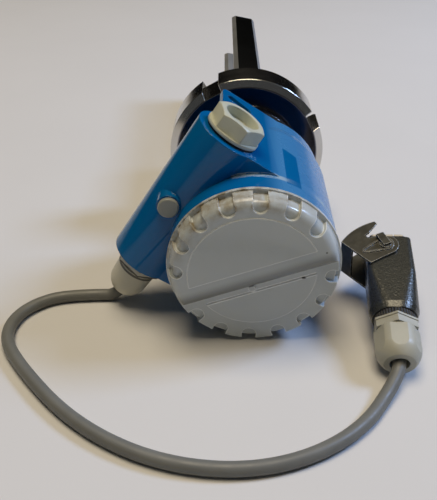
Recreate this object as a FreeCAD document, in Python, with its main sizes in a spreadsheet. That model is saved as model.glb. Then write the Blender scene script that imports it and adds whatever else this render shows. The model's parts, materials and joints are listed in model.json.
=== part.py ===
"""Vibrating fork level switch with its cable and connector hood, lying on a table.

The instrument is drawn upright in its own frame and then laid down by one placement.
Instrument frame: Z runs along the axis from the fork up to the cover, X points to the blanking plug and
Y to the cable entry tube. Its origin is on the axis, level with the upper outer edge of the union nut.
Row frame: Z up from the table, Y from the cover towards the fork, X to the right.
Hood frame: Z runs from the cable end to the mating face, X to the left and Y up.
"""
import FreeCAD, Part
import math
import os

import Sketcher
from FreeCAD import Placement, Rotation, Vector

DOC = FreeCAD.newDocument("LevelSwitch")
SHEET = DOC.addObject("Spreadsheet::Sheet", "Dims")

# Driving dimensions in millimetres and degrees
DIMENSIONS = {
    # Fits
    "free_gap": 0.3,
    "slip_gap": 0.05,
    # Lie of the instrument on the table
    "roll_angle": 57.0,
    # Union nut of a DN 50 dairy fitting
    "nut_radius": 46.0,
    "nut_width": 21.5,
    "nut_bevel_width": 4.5,
    "nut_bevel_height": 2.5,
    "nut_bore": 31.0,
    "nut_flange": 6.0,
    "nut_thread": 37.4,
    "nut_lead_in": 1.5,
    "nut_slot_width": 10.5,
    "nut_slot_depth": 4.5,
    "nut_slot_angle": 61.5,
    # Process collar and neck
    "collar_radius": 34.2,
    "collar_length": 9.0,
    "cone_length": 6.0,
    "cone_radius": 29.5,
    "hub_top": 8.0,
    "hub_slope": 5.0,
    "neck_radius": 19.0,
    "neck_wall": 2.5,
    "neck_flange_radius": 22.5,
    "neck_flange_height": 4.0,
    "neck_spigot_wall": 1.5,
    "neck_seal_height": 1.0,
    "ring_nut_radius": 22.0,
    "ring_nut_height": 4.0,
    # Sensor tube and fork
    "sensor_radius": 23.5,
    "sensor_wall": 3.0,
    "sensor_reach": 74.0,
    "fork_base_length": 12.0,
    "diaphragm_thickness": 3.0,
    "fork_reach": 246.0,
    "tine_width": 20.0,
    "tine_thickness": 6.5,
    "tine_gap": 27.5,
    "tine_chamfer": 2.7,
    "tip_chamfer": 2.0,
    "tip_chamfer_length": 3.0,
    "fork_angle": -68.0,
    # Drive stack behind the diaphragm
    "disc_radius": 10.0,
    "disc_height": 2.0,
    "stack_bolt_radius": 3.0,
    "stack_bolt_length": 24.0,
    "stack_nut_flats": 12.0,
    "stack_nut_height": 6.0,
    "lead_radius": 0.8,
    "lead_offset": 8.5,
    # Pot of the housing
    "pot_base": 37.0,
    "pot_top": 117.5,
    "pot_base_radius": 39.0,
    "pot_shoulder_radius": 40.5,
    "pot_top_radius": 39.4,
    "pot_base_chamfer": 1.5,
    "pot_step": 47.0,
    "pot_shoulder": 56.0,
    "pot_bore": 34.0,
    "pot_floor": 9.0,
    "cover_thread": 36.0,
    "cover_thread_depth": 13.5,
    # Cable entry tube on the pot
    "tube_offset": 37.3,
    "tube_drop": 26.0,
    "tube_radius": 16.5,
    "tube_half_length": 39.4,
    "plug_reach": 37.8,
    "web_half_width": 14.0,
    "entry_radius": 9.35,
    "duct_half_length": 24.0,
    "duct_half_width": 8.0,
    # Tag fin and small boss
    "fin_thickness": 3.0,
    "fin_reach": 41.5,
    "fin_corner": 4.0,
    "tag_slot_length": 9.0,
    "tag_slot_radius": 2.6,
    "tag_slot_offset": 31.5,
    "tag_slot_level": 46.8,
    "tag_slot_tilt": -20.0,
    "boss_radius": 5.6,
    "boss_offset": 45.6,
    "boss_side": -0.6,
    "boss_length": 33.0,
    "boss_rise": 0.2,
    "vent_cap_radius": 4.8,
    "vent_cap_height": 2.0,
    "vent_cap_round": 0.8,
    "vent_stem_radius": 3.0,
    "vent_stem_length": 6.0,
    # Screw cover
    "cover_radius": 39.8,
    "cover_lip": 1.6,
    "cover_side_radius": 39.0,
    "cover_crown_radius": 38.3,
    "cover_height": 10.0,
    "cover_round": 4.6,
    "cover_skin": 4.0,
    "cover_step_height": 2.4,
    "cover_step_offset": 2.0,
    "cover_step_slope": 4.2,
    "cover_turn": -37.0,
    "skirt_length": 10.5,
    "skirt_wall": 3.6,
    "seal_groove_depth": 1.6,
    "seal_height": 2.4,
    "seal_level": 1.8,
    "notch_radius": 3.3,
    "notch_centre": 35.3,
    "notch_depth": 1.6,
    "notch_pitch": 22.5,
    "panel_height": 0.4,
    "upper_panel_radius": 30.0,
    "upper_panel_chord": 3.6,
    "lower_panel_radius": 28.0,
    "lower_panel_chord": 9.5,
    "dot_radius": 1.7,
    "dot_height": 0.7,
    "dot_offset": 7.6,
    "dot_side": -3.5,
    # Blanking plug
    "plug_flats": 21.6,
    "plug_turn": 12.0,
    "plug_flange_radius": 12.9,
    "plug_flange_height": 1.4,
    "plug_head_height": 7.0,
    "plug_recess_radius": 8.3,
    "plug_recess_depth": 4.5,
    "plug_chamfer": 1.6,
    "plug_stem_length": 11.0,
    "entry_seal_height": 1.2,
    "entry_seal_radius": 12.0,
    # Housing gland
    "gland_seal_radius": 11.0,
    "gland_flats": 21.0,
    "gland_cap_wall": 2.0,
    "gland_seat_slope": 1.0,
    "gland_insert_play": 0.5,
    "gland_hex_height": 5.0,
    "gland_stem_length": 10.0,
    "gland_slit": 0.7,
    "gland_cap_radius": 10.2,
    "gland_cap_straight": 9.5,
    "gland_dome_radius": 9.6,
    "gland_mouth_radius": 6.4,
    "gland_barrel_length": 8.0,
    "gland_bore": 5.0,
    # Electronics
    "insert_radius": 33.4,
    "insert_bottom": 52.0,
    "insert_top": 76.0,
    "insert_rim": 2.0,
    "insert_dish": 2.5,
    "post_radius": 4.0,
    "post_circle": 27.0,
    "post_angle": -60.0,
    "insert_screw_radius": 1.6,
    "insert_screw_head": 3.4,
    "insert_screw_head_height": 2.4,
    "block_length": 32.0,
    "block_width": 13.0,
    "block_height": 12.0,
    "block_offset": 4.0,
    "terminal_pitch": 7.5,
    "terminal_screw_radius": 2.3,
    "terminal_screw_height": 1.6,
    "wire_hole_radius": 1.5,
    "wire_hole_level": 5.0,
    "switch_offset": -14.0,
    "switch_spacing": 9.0,
    "switch_slot_length": 8.0,
    "switch_slot_width": 4.0,
    "switch_slot_depth": 3.0,
    "switch_travel": 3.0,
    "switch_knob_height": 2.0,
    "lamp_side": 15.3,
    "lamp_radius": 2.5,
    "lamp_height": 4.0,
    "earth_pad_width": 10.0,
    "earth_pad_height": 9.0,
    "earth_pad_depth": 3.0,
    "earth_pad_drop": 27.5,
    "earth_pad_angle": 215.0,
    "earth_screw_radius": 3.3,
    "earth_screw_height": 2.6,
    # Cable
    "cable_radius": 3.0,
    "core_radius": 0.9,
    "core_spread": 1.8,
    "core_drop": 12.0,
    "core_rise": 2.0,
    "core_grip": 4.0,
    "tail_length": 30.0,
    "hood_tail_length": 18.0,
    "cable_seat": 3.0,
    # Connector hood
    "hood_x": 78.54,
    "hood_y": -184.35,
    "hood_z": 14.62,
    "hood_heading": 5.5,
    "hood_rise": 14.2,
    "hood_roll": 4.0,
    "hood_length": 47.0,
    "hood_end_width": 20.8,
    "hood_end_height": 18.8,
    "hood_bulge_level": 3.5,
    "hood_bulge_width": 23.2,
    "hood_bulge_height": 19.8,
    "hood_bulge_corner": 9.6,
    "hood_middle_level": 24.0,
    "hood_middle_width": 23.0,
    "hood_middle_height": 18.6,
    "hood_middle_corner": 3.4,
    "hood_mouth_width": 22.8,
    "hood_mouth_height": 17.0,
    "hood_end_corner": 9.2,
    "hood_mouth_corner": 2.6,
    "hood_cavity_width": 18.0,
    "hood_cavity_height": 13.0,
    "hood_cavity_corner": 2.0,
    "hood_cavity_depth": 38.0,
    "hood_spigot_radius": 9.2,
    "hood_spigot_length": 0.5,
    "hood_entry_radius": 7.6,
    "gasket_width": 1.4,
    "gasket_height": 1.2,
    "contact_width": 17.4,
    "contact_height": 12.4,
    "contact_back": 24.0,
    "contact_front": 51.2,
    "contact_notch_width": 0.7,
    "contact_notch_side": 3.3,
    "contact_notch_depth": 2.4,
    "contact_pitch": 11.6,
    "contact_row_pitch": 6.4,
    "contact_radius": 2.0,
    "contact_bore": 1.25,
    "contact_sink": 1.0,
    "contact_length": 22.0,
    "fixing_screw_radius": 1.5,
    "fixing_screw_head": 2.6,
    "fixing_screw_head_height": 2.0,
    "fixing_screw_length": 30.0,
    # Locking lever
    "peg_level": 40.0,
    "peg_side": 2.0,
    "peg_radius": 3.0,
    "peg_top": 11.2,
    "peg_root": 6.55,
    "peg_bar_length": 8.2,
    "peg_bar_width": 4.0,
    "peg_bar_height": 1.3,
    "peg_bar_heading": 66.0,
    "lever_gap": 0.8,
    "lever_sheet": 1.0,
    "bridge_share": 0.48,
    "bridge_clearance": 2.5,
    "lever_eye_radius": 6.6,
    "lever_back_radius": 32.0,
    "fold_top_side": 21.4,
    "fold_top_level": 1.4,
    "fold_end_side": 11.0,
    "fold_end_level": -9.5,
    "hook_tip_side": 3.0,
    "hook_tip_level": 15.3,
    "hook_tip_width": 1.2,
    "hook_tip_slope": 1.4,
    "hook_root_side": 9.4,
    "hook_root_level": 6.4,
    "hook_bend_side": 7.4,
    "hook_bend_level": 8.4,
    "notch_floor_side": 7.6,
    "notch_floor_level": 4.2,
    "cheek_top_side": 5.6,
    "cheek_top_level": 5.2,
    "fold_corner_width": 3.3,
    "fold_corner_height": 3.3,
    "lever_eye_spread": 57.3,
    "lever_rim_radius": 4.2,
    "lever_rim_reach": 10.6,
    "lever_rim_tip": 1.8,
    "lever_rim_heading": -27.0,
    "lever_rim_height": 0.7,
    "lever_rim_width": 1.0,
    # Hood gland
    "knurl_ring_radius": 9.8,
    "knurl_ring_height": 3.0,
    "knurl_depth": 0.5,
    "knurl_width": 0.9,
    "hood_hex_flats": 19.2,
    "hood_hex_height": 5.0,
    "hood_hex_rim": 1.2,
    "hood_hex_step": 0.7,
    "hood_gland_slit": 0.4,
    "hood_cap_flats": 19.2,
    "hood_cap_round": 10.3,
    "hood_cap_straight": 9.0,
    "hood_cap_length": 16.2,
    "hood_cap_mouth": 7.0,
    "hood_cap_hole": 4.4,
    "hood_stem_radius": 7.5,
    "hood_stem_length": 9.0,
    "hood_barrel_radius": 8.0,
    "hood_barrel_length": 9.0,
    "hood_barrel_play": 1.0,
}

# Places along the cable in row millimetres: out of the housing gland, round the left, in front of the
# cover and up into the hood gland
CABLE_ROUTE = [
    (-51.3, -148.5, 11.2),
    (-56.5, -148.1, 3.15),
    (-67.5, -147.8, 3.05),
    (-86.0, -149.9, 3.05),
    (-96.5, -156.3, 3.05),
    (-103.4, -166.1, 3.05),
    (-105.3, -178.0, 3.05),
    (-101.8, -190.0, 3.05),
    (-94.3, -201.2, 3.05),
    (-84.8, -213.2, 3.05),
    (-73.4, -226.2, 3.05),
    (-60.6, -238.2, 3.05),
    (-45.8, -248.6, 3.05),
    (-29.0, -256.8, 3.05),
    (-10.6, -261.4, 3.05),
    (8.2, -262.0, 3.05),
    (26.4, -258.0, 3.05),
    (43.4, -249.4, 3.05),
    (57.3, -237.4, 3.05),
    (66.6, -224.5, 3.05),
    (73.6, -214.4, 6.0),
    (76.2, -208.6, 8.45),
    (76.49, -205.68, 9.2),
]


class Size:
    """A size with its number and the spreadsheet expression that drives it."""

    def __init__(self, value, text):
        self.value = value
        self.text = text

    def __add__(self, other):
        return combine(self, "+", as_size(other), self.value + as_size(other).value)

    def __sub__(self, other):
        return combine(self, "-", as_size(other), self.value - as_size(other).value)

    def __mul__(self, other):
        return combine(self, "*", as_size(other), self.value * as_size(other).value)

    def __truediv__(self, other):
        return combine(self, "/", as_size(other), self.value / as_size(other).value)

    def __radd__(self, other):
        return as_size(other) + self

    def __rsub__(self, other):
        return as_size(other) - self

    def __rmul__(self, other):
        return as_size(other) * self

    def __neg__(self):
        return as_size(0.0) - self


def as_size(item):
    """Turn a plain number into a Size and leave a Size as it is."""
    return item if isinstance(item, Size) else Size(float(item), f"{float(item)}")


def combine(first, sign, second, value):
    """Join two sizes into one expression."""
    return Size(value, f"({first.text} {sign} {second.text})")


def cosine(angle):
    """Cosine of an angle in degrees."""
    angle = as_size(angle)
    return Size(math.cos(math.radians(angle.value)), f"cos({angle.text} * 1 deg)")


def sine(angle):
    """Sine of an angle in degrees."""
    angle = as_size(angle)
    return Size(math.sin(math.radians(angle.value)), f"sin({angle.text} * 1 deg)")


def root(item):
    """Square root of a size."""
    return Size(math.sqrt(item.value), f"sqrt({item.text})")


class Dimensions:
    """Gives each driving dimension as a Size under its own name."""


def fill_sheet():
    """Write the driving dimensions into the sheet and return them as sizes."""
    dims = Dimensions()
    for row, (name, value) in enumerate(DIMENSIONS.items(), start=1):
        SHEET.set(f"A{row}", name)
        SHEET.set(f"B{row}", str(value))
        SHEET.setAlias(f"B{row}", name)
    DOC.recompute()
    for name in DIMENSIONS:
        setattr(dims, name, Size(float(SHEET.get(name)), f"Dims.{name}"))
    return dims


D = fill_sheet()
ZERO = as_size(0.0)
NODES = []

# Angles in degrees and counts that follow from the forms themselves
HALF_TURN = 180.0
HALF_HEXAGON_STEP = 30.0
NOTCHES = 7
KNURLS = 44
DISCS = 6
NUT_SLOTS = 4


def bind(item, **properties):
    """Drive the properties of an object with sizes."""
    for name, size in properties.items():
        item.setExpression(name, as_size(size).text)


def new_body(name):
    """Start a body."""
    return DOC.addObject("PartDesign::Body", name)


def sketch_on(body, role, name, offset=None):
    """Start a sketch on one of a body's origin planes, moved by an offset placement if one is given."""
    plane = next(item for item in body.Origin.OriginFeatures if item.Role == role)
    sketch = body.newObject("Sketcher::SketchObject", name)
    sketch.AttachmentSupport = [(plane, "")]
    sketch.MapMode = "FlatFace"
    if offset is not None:
        sketch.AttachmentOffset = offset
    return sketch


def bind_point(sketch, geometry, end, x, y):
    """Fix one end of a sketch element to its place from the sketch's origin."""
    for kind, axis, size in (("DistanceX", -2, as_size(x)), ("DistanceY", -1, as_size(y))):
        if size.text == ZERO.text:
            sketch.addConstraint(Sketcher.Constraint("PointOnObject", geometry, end, axis))
            continue
        number = sketch.addConstraint(Sketcher.Constraint(kind, -1, 1, geometry, end, size.value))
        sketch.setExpression(f"Constraints[{number}]", size.text)


def arc_centre(start, end, radius):
    """Centre of the shorter arc from start to end, to the left of the way for a positive radius."""
    chord = end - start
    height = math.sqrt(max(radius * radius - chord.Length * chord.Length / 4.0, 0.0))
    left = Vector(-chord.y, chord.x, 0.0).normalize()
    return (start + end) * 0.5 + left * math.copysign(height, radius)


def outline(sketch, corners):
    """Draw a closed outline.

    A corner is (x, y), or (x, y, radius) where the stretch to the next corner is an arc. A positive radius
    turns left along the way and a negative one turns right.
    """
    first = sketch.GeometryCount
    count = len(corners)
    places = [Vector(as_size(c[0]).value, as_size(c[1]).value, 0.0) for c in corners]
    ends = []
    for number, corner in enumerate(corners):
        start, end = places[number], places[(number + 1) % count]
        if len(corner) == 2:
            sketch.addGeometry(Part.LineSegment(start, end), False)
            ends.append((1, 2))
            continue
        radius = as_size(corner[2]).value
        centre = arc_centre(start, end, radius)
        circle = Part.Circle(centre, Vector(0, 0, 1), abs(radius))
        low, high = (start, end) if radius > 0 else (end, start)
        span = [math.atan2(p.y - centre.y, p.x - centre.x) for p in (low, high)]
        sketch.addGeometry(Part.ArcOfCircle(circle, span[0], span[1]), False)
        ends.append((1, 2) if radius > 0 else (2, 1))
    for number, corner in enumerate(corners):
        following = (number + 1) % count
        here, there = first + number, first + following
        sketch.addConstraint(
            Sketcher.Constraint("Coincident", here, ends[number][1], there, ends[following][0]))
        bind_point(sketch, here, ends[number][0], corner[0], corner[1])
        if len(corner) == 3:
            radius = as_size(corner[2])
            value = abs(radius.value)
            index = sketch.addConstraint(Sketcher.Constraint("Radius", here, value))
            sketch.setExpression(f"Constraints[{index}]", f"abs({radius.text})")


def round_outline(sketch, radius, x=ZERO, y=ZERO):
    """Draw a full circle."""
    x, y = as_size(x), as_size(y)
    centre = Vector(x.value, y.value, 0.0)
    index = sketch.addGeometry(Part.Circle(centre, Vector(0, 0, 1), radius.value), False)
    number = sketch.addConstraint(Sketcher.Constraint("Radius", index, radius.value))
    sketch.setExpression(f"Constraints[{number}]", radius.text)
    bind_point(sketch, index, 3, x, y)


def hexagon(flats, turn=0.0):
    """Corners of a hexagon across its flats, turned by an angle in degrees."""
    reach = flats / (2.0 * cosine(HALF_HEXAGON_STEP))
    angles = [HALF_HEXAGON_STEP * 2.0 * number + as_size(turn) for number in range(6)]
    return [(reach * cosine(angle), reach * sine(angle)) for angle in angles]


def rounded_rectangle(width, height, corner):
    """Corners of a rectangle with rounded corners, centred on the origin."""
    side, top = width / 2.0, height / 2.0
    across, along = side - corner, top - corner
    return [(across, -top, corner), (side, -along), (side, along, corner), (across, top),
            (-across, top, corner), (-side, along), (-side, -along, corner), (-across, -top)]


def turn_profile(body, corners, name="Turning"):
    """Turn a closed outline of (radius, height) corners about the body's Z axis."""
    sketch = sketch_on(body, "XZ_Plane", name + "Sketch")
    outline(sketch, corners)
    turned = body.newObject("PartDesign::Revolution", name)
    turned.Profile = sketch
    turned.ReferenceAxis = (sketch, ["V_Axis"])
    turned.Angle = 360
    return turned


def turn_cut(body, corners, name):
    """Cut a closed outline of (radius, height) corners out of the body all round its Z axis."""
    sketch = sketch_on(body, "XZ_Plane", name + "Sketch")
    outline(sketch, corners)
    groove = body.newObject("PartDesign::Groove", name)
    groove.Profile = sketch
    groove.ReferenceAxis = (sketch, ["V_Axis"])
    groove.Angle = 360


def pad(body, sketch, length, name, both_ways=False, backwards=False):
    """Extrude a sketch into the body."""
    feature = body.newObject("PartDesign::Pad", name)
    feature.Profile = sketch
    bind(feature, Length=length)
    feature.Midplane = both_ways
    feature.Reversed = backwards
    return feature


def pocket(body, sketch, length, name, both_ways=False, backwards=False):
    """Cut a sketch out of the body."""
    feature = body.newObject("PartDesign::Pocket", name)
    feature.Profile = sketch
    bind(feature, Length=length)
    feature.Midplane = both_ways
    feature.Reversed = backwards
    return feature


def polar_pattern(body, feature, count, angle, name):
    """Repeat a feature round the body's Z axis and make that the body's result."""
    pattern = body.newObject("PartDesign::PolarPattern", name)
    pattern.Originals = [feature]
    axis = next(item for item in body.Origin.OriginFeatures if item.Role == "Z_Axis")
    pattern.Axis = (axis, [""])
    pattern.Occurrences = count
    if isinstance(angle, Size):
        bind(pattern, Angle=angle)
    else:
        pattern.Angle = angle
    body.Tip = pattern
    return pattern


def cylinder(name, radius, height, place=Placement()):
    """A cylinder along its own Z axis."""
    item = DOC.addObject("Part::Cylinder", name)
    bind(item, Radius=radius, Height=height)
    item.Placement = place
    return item


def box(name, length, width, height, place=Placement()):
    """A box from its corner along X, Y and Z."""
    item = DOC.addObject("Part::Box", name)
    bind(item, Length=length, Width=width, Height=height)
    item.Placement = place
    return item


def fuse(name, pieces):
    """Join pieces into one solid."""
    item = DOC.addObject("Part::MultiFuse", name)
    item.Shapes = pieces
    item.Refine = True
    return item


def cut(name, base, tool):
    """Take one piece away from another."""
    item = DOC.addObject("Part::Cut", name)
    item.Base = base
    item.Tool = tool
    item.Refine = True
    return item


def group(name, pieces):
    """Keep like pieces together as separate solids of one sub-part."""
    item = DOC.addObject("Part::Compound", name)
    item.Links = pieces
    return item


def at(x=0.0, y=0.0, z=0.0, rotation=Rotation()):
    """A placement from sizes or numbers."""
    return Placement(Vector(as_size(x).value, as_size(y).value, as_size(z).value), rotation)


def about(axis, angle):
    """A rotation about an axis by an angle in degrees."""
    return Rotation(Vector(*axis), as_size(angle).value)


ALONG_X = about((0, 1, 0), 90.0)
AGAINST_X = about((0, 1, 0), -90.0)
ALONG_Y = about((1, 0, 0), -90.0)
AGAINST_Y = about((1, 0, 0), 90.0)


def node(item, label, frame, place=Placement()):
    """Name a finished sub-part and note the frame that it stands in."""
    item.Label = label
    NODES.append((item, frame, place))


def ring(label, inner, outer, bottom, height, frame, place=Placement()):
    """A flat ring as a sub-part of its own."""
    body = new_body(label + "_body")
    turn_profile(body, [(inner, bottom), (outer, bottom), (outer, bottom + height), (inner, bottom + height)])
    node(body, label, frame, place)


# Levels and radii that several pieces share
NECK_BORE = D.neck_radius - D.neck_wall
SHOULDER = D.nut_bevel_height - D.nut_flange - D.free_gap
COLLAR_END = SHOULDER - D.collar_length
CONE_END = COLLAR_END - D.cone_length
SENSOR_BORE = D.sensor_radius - D.sensor_wall
FORK_BASE_END = -(D.sensor_reach + D.fork_base_length)
DIAPHRAGM = FORK_BASE_END + D.diaphragm_thickness
STACK_TOP = DIAPHRAGM + D.disc_height * float(DISCS)
NECK_TOP = D.pot_base - D.neck_seal_height
SPIGOT_RADIUS = NECK_BORE + D.neck_spigot_wall
FLOOR = D.pot_base + D.pot_floor
TUBE_LEVEL = D.pot_top - D.tube_drop
BOSS_TOP = TUBE_LEVEL + D.tube_radius + D.boss_rise
EARTH_PAD_LEVEL = D.pot_top - D.earth_pad_drop
COVER_SEAT = D.pot_top + D.free_gap
COVER_TOP = COVER_SEAT + D.cover_height
COVER_FACE = COVER_TOP - D.panel_height
LOWER_FACE = COVER_FACE - D.cover_step_height
SKIRT_RADIUS = D.cover_thread - D.free_gap


def build_union_nut():
    """Slotted union nut with a bevelled edge and a round thread bore."""
    body = new_body("UnionNut")
    face = D.nut_bevel_height
    foot = -D.nut_width
    turn_profile(body, [
        (D.nut_bore, face), (D.nut_radius - D.nut_bevel_width, face), (D.nut_radius, ZERO),
        (D.nut_radius, foot + D.nut_lead_in), (D.nut_radius - D.nut_lead_in, foot),
        (D.nut_thread + D.nut_lead_in, foot), (D.nut_thread, foot + D.nut_lead_in),
        (D.nut_thread, face - D.nut_flange), (D.nut_bore, face - D.nut_flange)])
    slots = sketch_on(body, "XY_Plane", "SlotSketch")
    half = D.nut_slot_width / 2.0
    floor = D.nut_radius - D.nut_slot_depth
    outer = D.nut_radius + D.nut_slot_depth
    outline(slots, [(floor, -half), (outer, -half), (outer, half), (floor, half)])
    slot = pocket(body, slots, D.nut_width * 3.0, "Slot", both_ways=True)
    polar_pattern(body, slot, NUT_SLOTS, 360, "Slots")
    node(body, "union_nut", "instrument", at(rotation=about((0, 0, 1), D.nut_slot_angle)))


def build_process_collar():
    """Cone collar with the hub that carries the nut."""
    body = new_body("ProcessCollar")
    hub = D.nut_bore - D.free_gap
    turn_profile(body, [
        (NECK_BORE, CONE_END), (D.cone_radius, CONE_END), (D.collar_radius, COLLAR_END),
        (D.collar_radius, SHOULDER), (hub, SHOULDER), (hub, D.hub_top),
        (D.neck_radius, D.hub_top + D.hub_slope), (NECK_BORE, D.hub_top + D.hub_slope)])
    node(body, "process_collar", "instrument")


def build_neck():
    """Neck tube with its flange, the seal under the head and the ring nut inside it."""
    body = new_body("NeckTube")
    top = FLOOR + D.ring_nut_height
    flange_foot = NECK_TOP - D.neck_flange_height
    turn_profile(body, [
        (NECK_BORE, D.hub_top + D.hub_slope), (D.neck_radius, D.hub_top + D.hub_slope),
        (D.neck_radius, flange_foot), (D.neck_flange_radius, flange_foot), (D.neck_flange_radius, NECK_TOP),
        (SPIGOT_RADIUS, NECK_TOP), (SPIGOT_RADIUS, top), (NECK_BORE, top)])
    node(body, "neck_tube", "instrument")
    inner = SPIGOT_RADIUS + D.slip_gap
    ring("neck_seal", inner, D.neck_flange_radius, NECK_TOP, D.neck_seal_height, "instrument")
    ring("neck_ring_nut", inner, D.ring_nut_radius, FLOOR, D.ring_nut_height, "instrument")


def build_fork():
    """Sensor tube, and the fork of one piece: base, diaphragm and two chamfered tines."""
    ring("sensor_tube", SENSOR_BORE, D.sensor_radius, -D.sensor_reach, CONE_END + D.sensor_reach,
         "instrument")
    body = new_body("Fork")
    turn_profile(body, [
        (ZERO, FORK_BASE_END), (D.sensor_radius, FORK_BASE_END), (D.sensor_radius, -D.sensor_reach),
        (SENSOR_BORE, -D.sensor_reach), (SENSOR_BORE, DIAPHRAGM), (ZERO, DIAPHRAGM)])
    tines = sketch_on(body, "XY_Plane", "TineSketch", at(z=FORK_BASE_END))
    bind(tines, **{"AttachmentOffset.Base.z": FORK_BASE_END})
    half, near = D.tine_width / 2.0, D.tine_gap / 2.0
    far, edge = near + D.tine_thickness, D.tine_chamfer
    for side in (1.0, -1.0):
        outline(tines, [
            (-half, side * (near + edge)), (edge - half, side * near), (half - edge, side * near),
            (half, side * (near + edge)), (half, side * (far - edge)), (half - edge, side * far),
            (edge - half, side * far), (-half, side * (far - edge))])
    pad(body, tines, D.fork_reach + FORK_BASE_END, "Tines", backwards=True)
    tips = sketch_on(body, "YZ_Plane", "TipSketch")
    end, rise = -D.fork_reach, D.tip_chamfer_length - D.fork_reach
    for side in (1.0, -1.0):
        outline(tips, [(side * far, end), (side * (far - D.tip_chamfer), end), (side * far, rise)])
        outline(tips, [(side * near, end), (side * (near + D.tip_chamfer), end), (side * near, rise)])
    pocket(body, tips, D.tine_width * 2.0, "Tips", both_ways=True)
    node(body, "fork", "instrument", at(rotation=about((0, 0, 1), D.fork_angle)))


def build_drive():
    """Piezo discs on their tension bolt, the clamping nut and the leads up to the electronics."""
    discs = []
    hole = D.stack_bolt_radius + D.free_gap
    for number in range(DISCS):
        bottom = DIAPHRAGM + D.disc_height * float(number)
        body = new_body(f"Disc{number}")
        turn_profile(body, [(hole, bottom), (D.disc_radius, bottom), (D.disc_radius, bottom + D.disc_height),
                            (hole, bottom + D.disc_height)])
        discs.append(body)
    node(group("PiezoDiscs", discs), "piezo_discs", "instrument")
    bolt = cylinder("StackBolt", D.stack_bolt_radius, D.stack_bolt_length)
    node(bolt, "stack_bolt", "instrument", at(z=DIAPHRAGM))
    body = new_body("StackNut")
    sketch = sketch_on(body, "XY_Plane", "NutSketch")
    outline(sketch, hexagon(D.stack_nut_flats))
    round_outline(sketch, D.stack_bolt_radius + D.slip_gap)
    pad(body, sketch, D.stack_nut_height, "Nut")
    node(body, "stack_nut", "instrument", at(z=STACK_TOP))
    leads = [cylinder(f"Lead{side}", D.lead_radius, D.insert_bottom - STACK_TOP, at(x=x, z=STACK_TOP))
             for side, x in (("Left", -D.lead_offset), ("Right", D.lead_offset))]
    node(group("Leads", leads), "sensor_leads", "instrument")


def post_places():
    """Places of the two posts that carry the electronics."""
    return [(D.post_circle * cosine(D.post_angle + turn), D.post_circle * sine(D.post_angle + turn))
            for turn in (0.0, 180.0)]


def build_pot():
    """Outside and inside of the pot as two turned solids."""
    outside = new_body("PotOutside")
    turn_profile(outside, [
        (ZERO, D.pot_base), (D.pot_base_radius - D.pot_base_chamfer, D.pot_base),
        (D.pot_base_radius, D.pot_base + D.pot_base_chamfer), (D.pot_base_radius, D.pot_step),
        (D.pot_shoulder_radius, D.pot_shoulder), (D.pot_top_radius, D.pot_top), (ZERO, D.pot_top)])
    inside = new_body("PotInside")
    spigot = SPIGOT_RADIUS + D.slip_gap
    step = D.pot_top - D.cover_thread_depth
    turn_profile(inside, [
        (ZERO, D.pot_base), (spigot, D.pot_base), (spigot, FLOOR), (D.pot_bore, FLOOR), (D.pot_bore, step),
        (D.cover_thread, step), (D.cover_thread, D.pot_top), (ZERO, D.pot_top)])
    return outside, inside


def build_entry_tube():
    """Cable entry tube with its web, drawn in side view and extruded along X."""
    body = new_body("EntryTube")
    sketch = sketch_on(body, "YZ_Plane", "EntrySketch", at(z=-D.tube_half_length))
    bind(sketch, **{"AttachmentOffset.Base.z": -D.tube_half_length})
    tangent = D.tube_offset - root(D.tube_radius * D.tube_radius - D.web_half_width * D.web_half_width)
    low, high = TUBE_LEVEL - D.web_half_width, TUBE_LEVEL + D.web_half_width
    crest = D.tube_offset + D.tube_radius
    r = D.tube_radius
    outline(sketch, [
        (ZERO, low), (tangent, low, r), (D.tube_offset, TUBE_LEVEL - r, r), (crest, TUBE_LEVEL, r),
        (D.tube_offset, TUBE_LEVEL + r, r), (tangent, high), (ZERO, high)])
    pad(body, sketch, D.tube_half_length + D.plug_reach, "Entry")
    return body


def build_fin():
    """Thin tag fin in the plane of the plug side, with its slotted hole."""
    body = new_body("TagFin")
    inner = D.plug_reach - D.fin_thickness
    sketch = sketch_on(body, "YZ_Plane", "FinSketch", at(z=inner))
    bind(sketch, **{"AttachmentOffset.Base.z": inner})
    outline(sketch, [
        (ZERO, D.pot_base), (D.fin_reach - D.fin_corner, D.pot_base, D.fin_corner),
        (D.fin_reach, D.pot_base + D.fin_corner), (D.fin_reach, TUBE_LEVEL), (ZERO, TUBE_LEVEL)])
    pad(body, sketch, D.fin_thickness, "Fin")
    slot = sketch_on(body, "YZ_Plane", "TagSlotSketch", at(z=inner))
    bind(slot, **{"AttachmentOffset.Base.z": inner})
    half, r = D.tag_slot_length / 2.0, D.tag_slot_radius
    lean, rise = cosine(D.tag_slot_tilt), sine(D.tag_slot_tilt)
    far = (D.tag_slot_offset + half * lean, D.tag_slot_level + half * rise)
    near = (D.tag_slot_offset - half * lean, D.tag_slot_level - half * rise)
    outline(slot, [
        (near[0] + r * rise, near[1] - r * lean), (far[0] + r * rise, far[1] - r * lean, r),
        (far[0] + r * lean, far[1] + r * rise, r), (far[0] - r * rise, far[1] + r * lean),
        (near[0] - r * rise, near[1] + r * lean, r), (near[0] - r * lean, near[1] - r * rise, r)])
    pocket(body, slot, D.fin_thickness * 4.0, "TagSlot", both_ways=True)
    return body


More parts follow.
